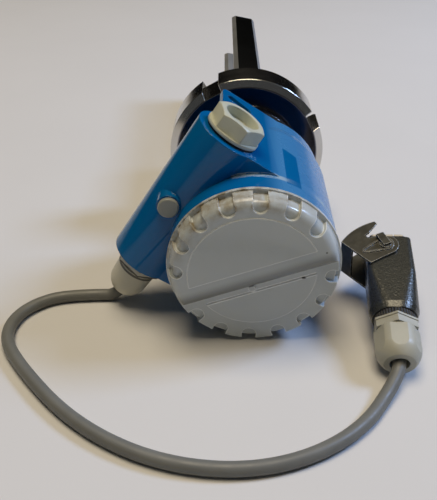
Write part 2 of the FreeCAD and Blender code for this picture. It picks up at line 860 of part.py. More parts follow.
def build_housing():
    """Housing casting: pot, entry tube, fin, boss, posts and earth pad, with their bores."""
    outside, inside = build_pot()
    boss = cylinder("Boss", D.boss_radius, D.boss_length,
                    at(D.boss_side, D.boss_offset, BOSS_TOP - D.boss_length))
    shell = fuse("HousingOutside", [outside, build_entry_tube(), build_fin(), boss])
    entry = cylinder("EntryBore", D.entry_radius, D.tube_half_length * 4.0,
                     at(-(D.tube_half_length * 2.0), D.tube_offset, TUBE_LEVEL, ALONG_X))
    duct = box("Duct", D.duct_half_length * 2.0, D.tube_offset, D.duct_half_width * 2.0,
               at(-D.duct_half_length, 0.0, TUBE_LEVEL - D.duct_half_width))
    vent = cylinder("VentHole", D.vent_stem_radius + D.slip_gap, D.vent_stem_length + D.free_gap,
                    at(D.boss_side, D.boss_offset, BOSS_TOP - D.vent_stem_length - D.free_gap))
    hollow = cut("HousingHollow", shell, fuse("HousingBores", [inside, entry, duct, vent]))
    inner_pieces = [hollow]
    for number, (x, y) in enumerate(post_places()):
        height = D.insert_bottom - FLOOR
        post = cylinder(f"Post{number}", D.post_radius, height, at(x, y, FLOOR))
        thread = cylinder(f"PostThread{number}", D.insert_screw_radius + D.slip_gap, height, at(x, y, FLOOR))
        inner_pieces.append(cut(f"DrilledPost{number}", post, thread))
    turn = about((0, 0, 1), D.earth_pad_angle)
    depth = D.cover_thread - D.pot_bore + D.earth_pad_depth
    corner = Vector((D.pot_bore - D.earth_pad_depth).value, -(D.earth_pad_width / 2.0).value,
                    EARTH_PAD_LEVEL.value)
    inner_pieces.append(box("EarthPad", depth, D.earth_pad_width, D.earth_pad_height,
                            Placement(turn.multVec(corner), turn)))
    node(fuse("Housing", inner_pieces), "housing", "instrument")


def build_vent_cap():
    """Round cap with a stem in the small boss."""
    body = new_body("VentCap")
    top = D.vent_cap_height
    turn_profile(body, [
        (ZERO, -D.vent_stem_length), (D.vent_stem_radius, -D.vent_stem_length), (D.vent_stem_radius, ZERO),
        (D.vent_cap_radius, ZERO), (D.vent_cap_radius, top - D.vent_cap_round, D.vent_cap_round),
        (D.vent_cap_radius - D.vent_cap_round, top), (ZERO, top)])
    node(body, "vent_cap", "instrument", at(D.boss_side, D.boss_offset, BOSS_TOP))


def cut_step(body, top, foot_level):
    """Cut the lower half of the cover's face away, with a rounded slope at the step."""
    step = sketch_on(body, "YZ_Plane", "StepSketch")
    edge = -D.cover_step_offset
    run, fall = D.cover_step_slope, D.cover_step_height
    slope_radius = (run * run + fall * fall) / (fall * 2.0)
    clear, aside = COVER_TOP + D.cover_height, -(D.cover_radius + D.cover_height)
    outline(step, [(edge, top, slope_radius), (edge - run, foot_level), (aside, foot_level), (aside, clear),
                   (edge, clear)])
    pocket(body, step, D.cover_radius * 3.0, "Step", both_ways=True)


def build_flutes():
    """Grip flutes of the cover's rim: upright bars with round inner ends, less the core inside the rim."""
    bars = []
    foot = COVER_SEAT + D.cover_lip
    height = D.cover_height
    for half, middle in (("Upper", 90.0), ("Lower", 270.0)):
        for number in range(NOTCHES):
            angle = middle + D.notch_pitch.value * (number - (NOTCHES - 1) / 2.0)
            turn = about((0, 0, 1), angle)
            name = f"{half}Flute{number}"
            centre = turn.multVec(Vector(D.notch_centre.value, 0.0, foot.value))
            corner = turn.multVec(Vector(D.notch_centre.value, -D.notch_radius.value, foot.value))
            end = cylinder(name + "End", D.notch_radius, height, Placement(centre, turn))
            bar = box(name + "Bar", D.notch_centre, D.notch_radius * 2.0, height, Placement(corner, turn))
            bars += [end, bar]
    core = new_body("FluteCore")
    depth = D.notch_depth
    side_top = COVER_FACE - D.cover_round
    bend = D.cover_round - depth
    turn_profile(core, [
        (ZERO, COVER_SEAT), (D.cover_side_radius - depth, COVER_SEAT), (D.cover_side_radius - depth, foot),
        (D.cover_crown_radius - depth, side_top, bend),
        (D.cover_crown_radius - D.cover_round, COVER_FACE - depth), (ZERO, COVER_FACE - depth)])
    cut_step(core, COVER_FACE - depth, LOWER_FACE - depth)
    return cut("Flutes", fuse("FluteBars", bars), core)


def build_cover():
    """Screw cover: turned shell, step across the face, raised panels and dot, and flutes round the rim."""
    body = new_body("CoverBlank")
    inner = SKIRT_RADIUS - D.skirt_wall
    groove = SKIRT_RADIUS - D.seal_groove_depth
    groove_top = COVER_SEAT - D.seal_level + D.free_gap
    groove_foot = groove_top - D.seal_height - D.free_gap * 2.0
    skirt_end = COVER_SEAT - D.skirt_length
    side_top = COVER_FACE - D.cover_round
    ceiling = LOWER_FACE - D.cover_skin
    turn_profile(body, [
        (inner, skirt_end), (SKIRT_RADIUS, skirt_end), (SKIRT_RADIUS, groove_foot), (groove, groove_foot),
        (groove, groove_top), (SKIRT_RADIUS, groove_top), (SKIRT_RADIUS, COVER_SEAT),
        (D.cover_radius, COVER_SEAT), (D.cover_radius, COVER_SEAT + D.cover_lip),
        (D.cover_side_radius, COVER_SEAT + D.cover_lip),
        (D.cover_crown_radius, side_top, D.cover_round), (D.cover_crown_radius - D.cover_round, COVER_FACE),
        (ZERO, COVER_FACE), (ZERO, ceiling), (inner, ceiling)])
    cut_step(body, COVER_FACE, LOWER_FACE)
    for name, level, radius, chord, side in (
            ("UpperPanel", COVER_FACE, D.upper_panel_radius, D.upper_panel_chord, 1.0),
            ("LowerPanel", LOWER_FACE, D.lower_panel_radius, D.lower_panel_chord, -1.0)):
        sketch = sketch_on(body, "XY_Plane", name + "Sketch", at(z=level))
        bind(sketch, **{"AttachmentOffset.Base.z": level})
        reach = root(radius * radius - chord * chord)
        outline(sketch, [(-reach, side * chord, -side * radius), (ZERO, side * radius, -side * radius),
                         (reach, side * chord)])
        pad(body, sketch, D.panel_height, name)
    dot = sketch_on(body, "XY_Plane", "DotSketch", at(z=LOWER_FACE))
    bind(dot, **{"AttachmentOffset.Base.z": LOWER_FACE})
    round_outline(dot, D.dot_radius, D.dot_side, -D.dot_offset)
    pad(body, dot, D.dot_height, "Dot")
    turned = at(rotation=about((0, 0, 1), D.cover_turn))
    node(cut("Cover", body, build_flutes()), "cover", "instrument", turned)
    ring("cover_seal", groove + D.free_gap, SKIRT_RADIUS, groove_foot + D.free_gap, D.seal_height,
         "instrument")


def build_plug():
    """Blanking plug with a hexagon head round a recess, and its seal."""
    place = at(D.plug_reach, D.tube_offset, TUBE_LEVEL, ALONG_X)
    inner = D.entry_radius - D.slip_gap
    ring("plug_seal", D.entry_radius, D.entry_seal_radius, ZERO, D.entry_seal_height, "instrument", place)
    body = new_body("BlankingPlug")
    base = D.entry_seal_height
    turn_profile(body, [
        (ZERO, -D.plug_stem_length), (inner, -D.plug_stem_length), (inner, base),
        (D.plug_flange_radius, base), (D.plug_flange_radius, base + D.plug_flange_height),
        (ZERO, base + D.plug_flange_height)])
    top = base + D.plug_flange_height + D.plug_head_height
    head = sketch_on(body, "XY_Plane", "HeadSketch", at(z=base))
    bind(head, **{"AttachmentOffset.Base.z": base})
    outline(head, hexagon(D.plug_flats, D.plug_turn))
    pad(body, head, top - base, "Head")
    flat = D.plug_flats / 2.0
    turn_cut(body, [(flat, top), (flat * 2.0, top), (flat * 2.0, top - flat * cosine(60.0)),
                    (flat + D.plug_chamfer, top - D.plug_chamfer * cosine(60.0))], "HeadChamfer")
    recess = sketch_on(body, "XY_Plane", "RecessSketch", at(z=top))
    bind(recess, **{"AttachmentOffset.Base.z": top})
    round_outline(recess, D.plug_recess_radius)
    pocket(body, recess, D.plug_recess_depth, "Recess")
    node(body, "blanking_plug", "instrument", place)


def build_housing_gland():
    """Gland in the lower entry: seal, hexagon body, rubber sleeve and domed cap nut."""
    place = at(-D.tube_half_length, D.tube_offset, TUBE_LEVEL, AGAINST_X)
    ring("gland_seal", D.entry_radius, D.gland_seal_radius, ZERO, D.entry_seal_height, "instrument", place)
    body = new_body("GlandBody")
    base = D.entry_seal_height
    hex_top = base + D.gland_hex_height
    barrel = D.gland_cap_radius - D.gland_cap_wall
    stem = D.entry_radius - D.slip_gap
    barrel_top = hex_top + D.gland_barrel_length
    turn_profile(body, [
        (D.gland_bore, -D.gland_stem_length), (stem, -D.gland_stem_length), (stem, base), (barrel, hex_top),
        (barrel, barrel_top), (D.gland_bore, barrel_top)])
    sketch = sketch_on(body, "XY_Plane", "HexSketch", at(z=base))
    bind(sketch, **{"AttachmentOffset.Base.z": base})
    outline(sketch, hexagon(D.gland_flats))
    round_outline(sketch, D.gland_bore)
    pad(body, sketch, D.gland_hex_height, "Hex")
    node(body, "gland_body", "instrument", place)
    cap = new_body("GlandCap")
    foot = hex_top + D.gland_slit
    shoulder = foot + D.gland_cap_straight
    rise = root(D.gland_dome_radius * D.gland_dome_radius - D.gland_mouth_radius * D.gland_mouth_radius)
    mouth = shoulder + rise
    inner = barrel + D.slip_gap
    turn_profile(cap, [
        (inner, foot), (D.gland_cap_radius, foot), (D.gland_dome_radius, shoulder, D.gland_dome_radius),
        (D.gland_mouth_radius, mouth), (D.gland_bore, mouth), (D.gland_bore, shoulder),
        (inner, shoulder - D.gland_seat_slope)])
    node(cap, "gland_cap_nut", "instrument", place)
    tail_end = mouth - D.cable_seat
    sleeve_end = shoulder - D.gland_seat_slope - D.gland_insert_play
    ring("gland_insert", D.cable_radius + D.slip_gap, D.gland_bore - D.slip_gap, base, sleeve_end - base,
         "instrument", place)
    tail = cylinder("CableTail", D.cable_radius, tail_end + D.tail_length - D.gland_stem_length)
    drop = D.gland_stem_length - D.tail_length
    node(tail, "cable_tail", "instrument", place.multiply(at(z=drop)))


def build_electronics():
    """Potted insert with terminal block, switches, lamp and fixing screws, and the earth screw."""
    body = new_body("ElectronicInsert")
    dish = D.insert_top - D.insert_dish
    rim = D.insert_radius - D.insert_rim
    turn_profile(body, [
        (ZERO, D.insert_bottom), (D.insert_radius, D.insert_bottom), (D.insert_radius, D.insert_top),
        (rim, D.insert_top), (rim, dish), (ZERO, dish)])
    holes = sketch_on(body, "XY_Plane", "ScrewHoleSketch", at(z=dish))
    bind(holes, **{"AttachmentOffset.Base.z": dish})
    for x, y in post_places():
        round_outline(holes, D.insert_screw_radius + D.free_gap, x, y)
    pocket(body, holes, dish - D.insert_bottom, "ScrewHoles")
    slots = sketch_on(body, "XY_Plane", "SwitchSlotSketch", at(z=dish))
    bind(slots, **{"AttachmentOffset.Base.z": dish})
    half_length, half_width = D.switch_slot_length / 2.0, D.switch_slot_width / 2.0
    for side in (-0.5, 0.5):
        x = D.switch_spacing * side
        low, high = D.switch_offset - half_length, D.switch_offset + half_length
        left, right = x - half_width, x + half_width
        outline(slots, [(left, low), (right, low), (right, high), (left, high)])
    pocket(body, slots, D.switch_slot_depth, "SwitchSlots")
    node(body, "electronic_insert", "instrument")
    for label, side in (("fail_safe_switch", -0.5), ("density_switch", 0.5)):
        build_switch(label, D.switch_spacing * side, dish)
    screws = []
    for number, (x, y) in enumerate(post_places()):
        shank = cylinder(f"InsertShank{number}", D.insert_screw_radius, dish - FLOOR, at(x, y, FLOOR))
        head = cylinder(f"InsertHead{number}", D.insert_screw_head, D.insert_screw_head_height,
                        at(x, y, dish))
        screws.append(fuse(f"InsertScrew{number}", [shank, head]))
    node(group("InsertScrews", screws), "insert_screws", "instrument")
    build_terminals(dish)
    lamp = new_body("Lamp")
    turn_profile(lamp, [
        (ZERO, ZERO), (D.lamp_radius, ZERO), (D.lamp_radius, D.lamp_height - D.lamp_radius, D.lamp_radius),
        (ZERO, D.lamp_height)])
    node(lamp, "status_lamp", "instrument", at(D.lamp_side, D.switch_offset, dish))
    turn = about((0, 0, 1), D.earth_pad_angle)
    reach = D.pot_bore - D.earth_pad_depth
    level = EARTH_PAD_LEVEL + D.earth_pad_height / 2.0
    seat = turn.multVec(Vector(reach.value, 0.0, level.value))
    screw = cylinder("EarthScrew", D.earth_screw_radius, D.earth_screw_height)
    node(screw, "earth_screw", "instrument", Placement(seat, turn.multiply(AGAINST_X)))


def build_switch(label, x, dish):
    """Slide switch knob that stands in its slot with play all round."""
    body = new_body(label + "_body")
    sketch = sketch_on(body, "XY_Plane", "KnobSketch")
    half = D.switch_slot_width / 2.0 - D.free_gap
    back = -(D.switch_slot_length / 2.0) + D.free_gap
    front = D.switch_slot_length / 2.0 - D.free_gap - D.switch_travel
    outline(sketch, [(-half, back), (half, back), (half, front), (-half, front)])
    depth = D.switch_slot_depth - D.free_gap
    pad(body, sketch, depth + D.switch_knob_height, "Knob")
    node(body, label, "instrument", at(x, D.switch_offset, dish - depth))


def terminal_places():
    """Places of the terminals along the block."""
    return [D.terminal_pitch * step for step in (-1.5, -0.5, 0.5, 1.5)]


def build_terminals(dish):
    """Terminal block with wire holes and the screws on top of it."""
    block = box("BlockBlank", D.block_length, D.block_width, D.block_height,
                at(-(D.block_length / 2.0), D.block_offset - D.block_width / 2.0, dish))
    level = dish + D.wire_hole_level
    holes = [cylinder(f"WireHole{number}", D.wire_hole_radius, D.block_width,
                      at(x, D.block_offset, level, ALONG_Y)) for number, x in enumerate(terminal_places())]
    node(cut("TerminalBlock", block, fuse("WireHoles", holes)), "terminal_block", "instrument")
    screws = [cylinder(f"TerminalScrew{number}", D.terminal_screw_radius, D.terminal_screw_height,
                       at(x, D.block_offset, dish + D.block_height))
              for number, x in enumerate(terminal_places())]
    node(group("TerminalScrews", screws), "terminal_screws", "instrument")


def rounded_path(points, share=0.45):
    """Wire of straight runs joined by tangent arcs as large as the runs beside each corner allow."""
    edges, radii = [], []
    start = points[0]
    for before, corner, after in zip(points, points[1:], points[2:]):
        inward, outward = corner - before, after - corner
        turn = inward.getAngle(outward)
        setback = share * min(inward.Length, outward.Length)
        radii.append(setback / math.tan(turn / 2.0))
        first = corner - Vector(inward).normalize() * setback
        last = corner + Vector(outward).normalize() * setback
        bisector = (Vector(outward).normalize() - Vector(inward).normalize()).normalize()
        middle = corner + bisector * (radii[-1] / math.cos(turn / 2.0) - radii[-1])
        edges.append(Part.LineSegment(start, first).toShape())
        edges.append(Part.Arc(first, middle, last).toShape())
        start = last
    edges.append(Part.LineSegment(start, points[-1]).toShape())
    return Part.Wire(edges), radii


def swept_tube(points, radius):
    """Round tube along a rounded path, with its volume compared with its section times its length."""
    path, radii = rounded_path(points)
    way = points[1] - points[0]
    section = Part.Wire([Part.Circle(points[0], way, radius).toShape()])
    tube = path.makePipeShell([section], True, False)
    expected = math.pi * radius * radius * path.Length
    if abs(tube.Volume - expected) > 0.02 * expected:
        raise RuntimeError(f"tube volume {tube.Volume:.1f} instead of {expected:.1f}")
    return tube, path.Length, radii


def build_cores():
    """Three cores from the end of the cable tail to the terminals."""
    start = -D.tube_half_length.value - D.gland_stem_length.value + D.tail_length.value
    dish = D.insert_top - D.insert_dish
    top, entry = TUBE_LEVEL.value, (dish + D.wire_hole_level).value
    face = D.block_offset.value + D.block_width.value / 2.0
    spread = D.core_spread.value
    cores = []
    for offset, x in zip((spread, 0.0, -spread), terminal_places()):
        y = D.tube_offset.value + offset
        points = [Vector(start, y, top), Vector(x.value, y, top),
                  Vector(x.value, face + D.core_drop.value, entry + D.core_rise.value),
                  Vector(x.value, face - D.core_grip.value, entry)]
        cores.append(swept_tube(points, D.core_radius.value)[0])
    item = DOC.addObject("Part::Feature", "CableCores")
    item.Shape = Part.makeCompound(cores)
    node(item, "cable_cores", "instrument")


def build_cable():
    """Cable along its route on the table."""
    points = [Vector(*place) for place in CABLE_ROUTE]
    tube, length, radii = swept_tube(points, D.cable_radius.value)
    item = DOC.addObject("Part::Feature", "Cable")
    item.Shape = tube
    node(item, "cable", "row")
    print(f"cable length {length:.1f} mm, radii", [round(r, 1) for r in radii])


def build_hood_shell():
    """Hood that goes from a round cable end to a flat mouth, with its cavity, entry and peg seats."""
    body = new_body("HoodShell")
    loft = body.newObject("PartDesign::AdditiveLoft", "Taper")
    sections = []
    for name, level, width, height, corner in (
            ("End", ZERO, D.hood_end_width, D.hood_end_height, D.hood_end_corner),
            ("Bulge", D.hood_bulge_level, D.hood_bulge_width, D.hood_bulge_height, D.hood_bulge_corner),
            ("Middle", D.hood_middle_level, D.hood_middle_width, D.hood_middle_height, D.hood_middle_corner),
            ("Mouth", D.hood_length, D.hood_mouth_width, D.hood_mouth_height, D.hood_mouth_corner)):
        sketch = sketch_on(body, "XY_Plane", name + "Sketch", at(z=level))
        bind(sketch, **{"AttachmentOffset.Base.z": level})
        outline(sketch, rounded_rectangle(width, height, corner))
        sections.append(sketch)
    loft.Profile = sections[0]
    loft.Sections = sections[1:]
    loft.Ruled = True
    spigot = sketch_on(body, "XY_Plane", "SpigotSketch")
    round_outline(spigot, D.hood_spigot_radius)
    pad(body, spigot, D.hood_spigot_length, "Spigot", backwards=True)
    cavity = sketch_on(body, "XY_Plane", "CavitySketch", at(z=D.hood_length))
    bind(cavity, **{"AttachmentOffset.Base.z": D.hood_length})
    outline(cavity, rounded_rectangle(D.hood_cavity_width, D.hood_cavity_height, D.hood_cavity_corner))
    pocket(body, cavity, D.hood_cavity_depth, "Cavity")
    entry = sketch_on(body, "XY_Plane", "HoodEntrySketch", at(z=-D.hood_spigot_length))
    bind(entry, **{"AttachmentOffset.Base.z": -D.hood_spigot_length})
    round_outline(entry, D.hood_entry_radius)
    wall = D.hood_length - D.hood_cavity_depth
    pocket(body, entry, wall + D.hood_spigot_length, "HoodEntry", backwards=True)
    pegs = sketch_on(body, "XZ_Plane", "PegSeatSketch")
    round_outline(pegs, D.peg_radius + D.slip_gap, D.peg_side, D.peg_level)
    pocket(body, pegs, D.hood_mouth_width * 2.0, "PegSeats", both_ways=True)
    node(body, "hood_shell", "hood")


def build_hood_inside():
    """Gasket, contact insert, contacts and fixing screw of the hood."""
    body = new_body("HoodGasket")
    sketch = sketch_on(body, "XY_Plane", "GasketSketch")
    width, height = D.hood_cavity_width, D.hood_cavity_height
    corner, rim = D.hood_cavity_corner, D.gasket_width
    outline(sketch, rounded_rectangle(width + rim * 2.0, height + rim * 2.0, corner + rim))
    outline(sketch, rounded_rectangle(width, height, corner))
    pad(body, sketch, D.gasket_height, "Gasket")
    node(body, "hood_gasket", "hood", at(z=D.hood_length))
    insert = new_body("ContactInsert")
    block = sketch_on(insert, "XY_Plane", "BlockSketch", at(z=D.contact_back))
    bind(block, **{"AttachmentOffset.Base.z": D.contact_back})
    outline(block, rounded_rectangle(D.contact_width, D.contact_height, D.hood_cavity_corner))
    pad(insert, block, D.contact_front - D.contact_back, "Block")
    notch = sketch_on(insert, "XY_Plane", "NotchSketch", at(z=D.contact_front))
    bind(notch, **{"AttachmentOffset.Base.z": D.contact_front})
    half, edge = D.contact_notch_width / 2.0, D.contact_height / 2.0
    for side, middle in ((1.0, D.contact_notch_side), (1.0, -D.contact_notch_side),
                         (-1.0, D.contact_notch_side), (-1.0, -D.contact_notch_side)):
        floor, clear = side * (edge - D.contact_notch_depth), side * D.contact_width
        outline(notch, [(middle - half, floor), (middle + half, floor), (middle + half, clear),
                        (middle - half, clear)])
    pocket(insert, notch, D.contact_front - D.hood_length, "Notches")
    holes = sketch_on(insert, "XY_Plane", "ContactHoleSketch", at(z=D.contact_front))
    bind(holes, **{"AttachmentOffset.Base.z": D.contact_front})
    for x, y in contact_places():
        round_outline(holes, D.contact_radius + D.slip_gap, x, y)
    pocket(insert, holes, D.contact_sink + D.contact_length, "ContactHoles")
    screw_hole = sketch_on(insert, "XY_Plane", "FixingHoleSketch", at(z=D.contact_front))
    bind(screw_hole, **{"AttachmentOffset.Base.z": D.contact_front})
    round_outline(screw_hole, D.fixing_screw_radius + D.slip_gap)
    pocket(insert, screw_hole, D.contact_front - D.contact_back, "FixingHole")
    node(insert, "contact_insert", "hood")
    bottom = D.contact_front - D.contact_sink - D.contact_length
    contacts = []
    for number, (x, y) in enumerate(contact_places()):
        sleeve = new_body(f"Contact{number}")
        turn_profile(sleeve, [(D.contact_bore, ZERO), (D.contact_radius, ZERO),
                              (D.contact_radius, D.contact_length), (D.contact_bore, D.contact_length)])
        sleeve.Placement = at(x, y, bottom)
        contacts.append(sleeve)
    node(group("Contacts", contacts), "contacts", "hood")
    shank = cylinder("FixingShank", D.fixing_screw_radius, D.fixing_screw_length,
                     at(z=D.contact_front - D.fixing_screw_length))
    head = cylinder("FixingHead", D.fixing_screw_head, D.fixing_screw_head_height, at(z=D.contact_front))
    node(fuse("FixingScrew", [shank, head]), "insert_fixing_screw", "hood")


def contact_places():
    """Places of the four contacts round the fixing screw."""
    x, y = D.contact_pitch / 2.0, D.contact_row_pitch / 2.0
    return [(-x, -y), (x, -y), (x, y), (-x, y)]


def teardrop(radius, tip_radius, reach, heading):
    """Corners of an outline round a large circle on the pivot and a small one at its reach."""
    close = (radius - tip_radius) / reach
    wide = root(1.0 - close * close)
    across, along = cosine(heading), sine(heading)
    left = (across * close - along * wide, along * close + across * wide)
    right = (across * close + along * wide, along * close - across * wide)
    tip = (reach * across, reach * along)
    return [
        (tip[0] + tip_radius * right[0], tip[1] + tip_radius * right[1], tip_radius),
        (tip[0] + tip_radius * across, tip[1] + tip_radius * along, tip_radius),
        (tip[0] + tip_radius * left[0], tip[1] + tip_radius * left[1]),
        (radius * left[0], radius * left[1], radius), (-(radius * across), -(radius * along), radius),
        (radius * right[0], radius * right[1])]


def build_pegs():
    """Two pegs in the hood, each with a flat bar on its head that keeps the lever's cheek on."""
    length = D.peg_top - D.peg_root
    pegs = []
    for name, side, rotation in (("Up", 1.0, ALONG_Y), ("Down", -1.0, AGAINST_Y)):
        shank = cylinder("PegShank" + name, D.peg_radius, length,
                         at(D.peg_side, side * D.peg_root, D.peg_level, rotation))
        turn = about((0, 1, 0), -D.peg_bar_heading)
        low = D.peg_top if side > 0 else -D.peg_top - D.peg_bar_height
        corner = Vector(-(D.peg_bar_width / 2.0).value, 0.0, -(D.peg_bar_width / 2.0).value)
        foot = Vector(D.peg_side.value, low.value, D.peg_level.value) + turn.multVec(corner)
        bar = box("PegBar" + name, D.peg_bar_length, D.peg_bar_height, D.peg_bar_width, Placement(foot, turn))
        pegs.append(fuse("Peg" + name, [shank, bar]))
    node(group("Pegs", pegs), "lever_pegs", "hood")


def build_lever():
    """Locking lever: two hooked cheeks on the pegs, joined by a bridge over the outer part of the fold."""
    body = new_body("LockingLever")
    inner = D.hood_mouth_height / 2.0 + D.lever_gap
    outer = inner + D.lever_sheet
    fold_top = (D.fold_top_side, D.fold_top_level)
    fold_end = (D.fold_end_side, D.fold_end_level)
    eye = D.lever_eye_radius
    eye_side, eye_level = eye * cosine(D.lever_eye_spread), eye * sine(D.lever_eye_spread)
    cheek = sketch_on(body, "XZ_Plane", "CheekSketch")
    outline(cheek, [
        (D.hook_tip_side, D.hook_tip_level),
        (D.hook_tip_side + D.hook_tip_width, D.hook_tip_level + D.hook_tip_slope, -D.lever_back_radius),
        fold_top, fold_end, (fold_end[0] - D.fold_corner_width, fold_end[1] - D.fold_corner_height),
        (-eye_side, -eye_level, -eye), (-eye, ZERO, -eye), (-eye_side, eye_level),
        (D.cheek_top_side, D.cheek_top_level), (D.notch_floor_side, D.notch_floor_level),
        (D.hook_root_side, D.hook_root_level), (D.hook_bend_side, D.hook_bend_level)])
    round_outline(cheek, D.peg_radius + D.slip_gap)
    pad(body, cheek, outer * 2.0, "Cheeks", both_ways=True)
    run = (fold_top[0] - fold_end[0], fold_top[1] - fold_end[1])
    span = root(run[0] * run[0] + run[1] * run[1])
    inward = (-(run[1] / span), run[0] / span)
    step = (inward[0] * D.lever_sheet, inward[1] * D.lever_sheet)
    room = sketch_on(body, "XZ_Plane", "RoomSketch")
    outline(room, [
        (fold_top[0] + step[0] + run[0], fold_top[1] + step[1] + run[1]),
        (fold_end[0] + step[0] - run[0], fold_end[1] + step[1] - run[1]),
        (fold_end[0] + step[0] - run[0] - run[1] * 4.0, fold_end[1] + step[1] - run[1] + run[0] * 4.0),
        (fold_top[0] + step[0] + run[0] - run[1] * 4.0, fold_top[1] + step[1] + run[1] + run[0] * 4.0)])
    pocket(body, room, inner * 2.0, "Room", both_ways=True)
    window = sketch_on(body, "XZ_Plane", "WindowSketch")
    near = (fold_top[0] - run[0] * D.bridge_share, fold_top[1] - run[1] * D.bridge_share)
    far = (fold_end[0] - run[0], fold_end[1] - run[1])
    aside = (inward[0] * D.bridge_clearance, inward[1] * D.bridge_clearance)
    outline(window, [(near[0] + aside[0], near[1] + aside[1]), (near[0] - aside[0], near[1] - aside[1]),
                     (far[0] - aside[0], far[1] - aside[1]), (far[0] + aside[0], far[1] + aside[1])])
    pocket(body, window, inner * 2.0, "Window", both_ways=True)
    reach, heading, width = D.lever_rim_reach, D.lever_rim_heading, D.lever_rim_width
    large, small = D.lever_rim_radius, D.lever_rim_tip
    for name, side in (("UpperRim", -1.0), ("LowerRim", 1.0)):
        rim = sketch_on(body, "XZ_Plane", name + "Sketch", at(z=side * outer))
        bind(rim, **{"AttachmentOffset.Base.z": side * outer})
        outline(rim, teardrop(large, small, reach, heading))
        outline(rim, teardrop(large - width, small - width, reach, heading))
        pad(body, rim, D.lever_rim_height, name, backwards=side < 0)
    node(body, "locking_lever", "hood", at(x=D.peg_side, z=D.peg_level))


def build_hood_gland():
    """Gland on the hood: knurled ring, hexagon body, rubber sleeve and cap nut with six flats."""
    place = at(z=-D.hood_spigot_length, rotation=about((1, 0, 0), HALF_TURN))
    knurl = new_body("KnurledRing")
    rim, depth, half = D.knurl_ring_radius, D.knurl_depth, D.knurl_width / 2.0
    turn_profile(knurl, [(D.hood_entry_radius, ZERO), (rim, ZERO), (rim, D.knurl_ring_height),
                         (D.hood_entry_radius, D.knurl_ring_height)])
    tooth = sketch_on(knurl, "XY_Plane", "ToothSketch")
    outline(tooth, [(rim - depth, ZERO), (rim + depth, -half * 2.0), (rim + depth, half * 2.0)])
    gap = pocket(knurl, tooth, D.knurl_ring_height, "ToothGap", backwards=True)
    polar_pattern(knurl, gap, KNURLS, 360, "ToothGaps")
    node(knurl, "hood_gland_ring", "hood", place)
    body = new_body("HoodGlandBody")
    base = D.knurl_ring_height
    hex_top = base + D.hood_hex_height
    bore = D.hood_cap_hole
    top = hex_top + D.hood_barrel_length
    turn_profile(body, [
        (bore, -D.hood_stem_length), (D.hood_stem_radius, -D.hood_stem_length), (D.hood_stem_radius, base),
        (D.hood_barrel_radius, hex_top), (D.hood_barrel_radius, top), (bore, top)])
    for name, flats, height in (("Rim", D.hood_hex_flats, D.hood_hex_rim),
                                ("Hex", D.hood_hex_flats - D.hood_hex_step, D.hood_hex_height)):
        sketch = sketch_on(body, "XY_Plane", name + "Sketch", at(z=base))
        bind(sketch, **{"AttachmentOffset.Base.z": base})
        outline(sketch, hexagon(flats, HALF_HEXAGON_STEP))
        round_outline(sketch, bore)
        pad(body, sketch, height, name)
    node(body, "hood_gland_body", "hood", place)
    foot = hex_top + D.hood_gland_slit
    end = foot + D.hood_cap_length
    straight = foot + D.hood_cap_straight
    inner = D.hood_barrel_radius + D.slip_gap
    cap = new_body("HoodGlandCap")
    turn_profile(cap, [
        (inner, foot), (D.hood_cap_round, foot), (D.hood_cap_round, straight, D.hood_cap_round),
        (D.hood_cap_mouth, end), (bore, end), (bore, top + D.hood_barrel_play),
        (inner, top + D.hood_barrel_play)])
    flats = sketch_on(cap, "XY_Plane", "FlatsSketch", at(z=foot))
    bind(flats, **{"AttachmentOffset.Base.z": foot})
    outline(flats, hexagon(D.hood_cap_flats))
    round_outline(flats, D.hood_cap_round * 2.0)
    pocket(cap, flats, D.hood_cap_length, "Flats", backwards=True)
    node(cap, "hood_gland_cap_nut", "hood", place)
    ring("hood_gland_insert", D.cable_radius + D.slip_gap, bore - D.slip_gap, base, top - base, "hood", place)
    tail_end = end - D.cable_seat
    tail = cylinder("HoodCableTail", D.cable_radius, tail_end + D.hood_tail_length)
    node(tail, "hood_cable_tail", "hood", place.multiply(at(z=-D.hood_tail_length)))


def instrument_rest():
    """Placement that lays the instrument on the nut's edge and the cover's lip, centred on the origin."""
    lip = COVER_SEAT + D.cover_lip
    lean = math.degrees(math.atan((D.nut_radius - D.cover_radius).value / lip.value))
    turn = about((1, 0, 0), 90.0 + lean).multiply(about((0, 0, 1), D.roll_angle))
    reach = FreeCAD.BoundBox()
    for item, frame, place in NODES:
        if frame == "instrument":
            shape = item.Shape.copy()
            shape.Placement = Placement(Vector(), turn).multiply(place).multiply(shape.Placement)
            reach.add(shape.optimalBoundingBox(False, False))
    return Placement(-Vector(reach.Center.x, reach.Center.y, reach.ZMin), turn)


def hood_rest():
    """Placement of the hood on the table from the middle of its cable end."""
    heading, rise = math.radians(D.hood_heading.value), math.radians(D.hood_rise.value)
    ahead = Vector(math.sin(heading) * math.cos(rise), math.cos(heading) * math.cos(rise), math.sin(rise))
    left = Vector(-math.cos(heading), math.sin(heading), 0.0)
    turn = Rotation(left, ahead.cross(left), ahead, "ZXY").multiply(about((0, 0, 1), -D.hood_roll))
    return at(D.hood_x, D.hood_y, D.hood_z, turn)


def check_document():
    """Stop if any object failed or any sub-part has no sound shape."""
    for item in DOC.Objects:
        if "Invalid" in item.State or "Error" in item.State:
            raise RuntimeError(f"{item.Name} failed: {item.State}")
    for item, _, _ in NODES:
        if item.Shape.isNull() or not item.Shape.isValid() or not item.Shape.Solids:
            raise RuntimeError(f"{item.Label} has no sound shape")


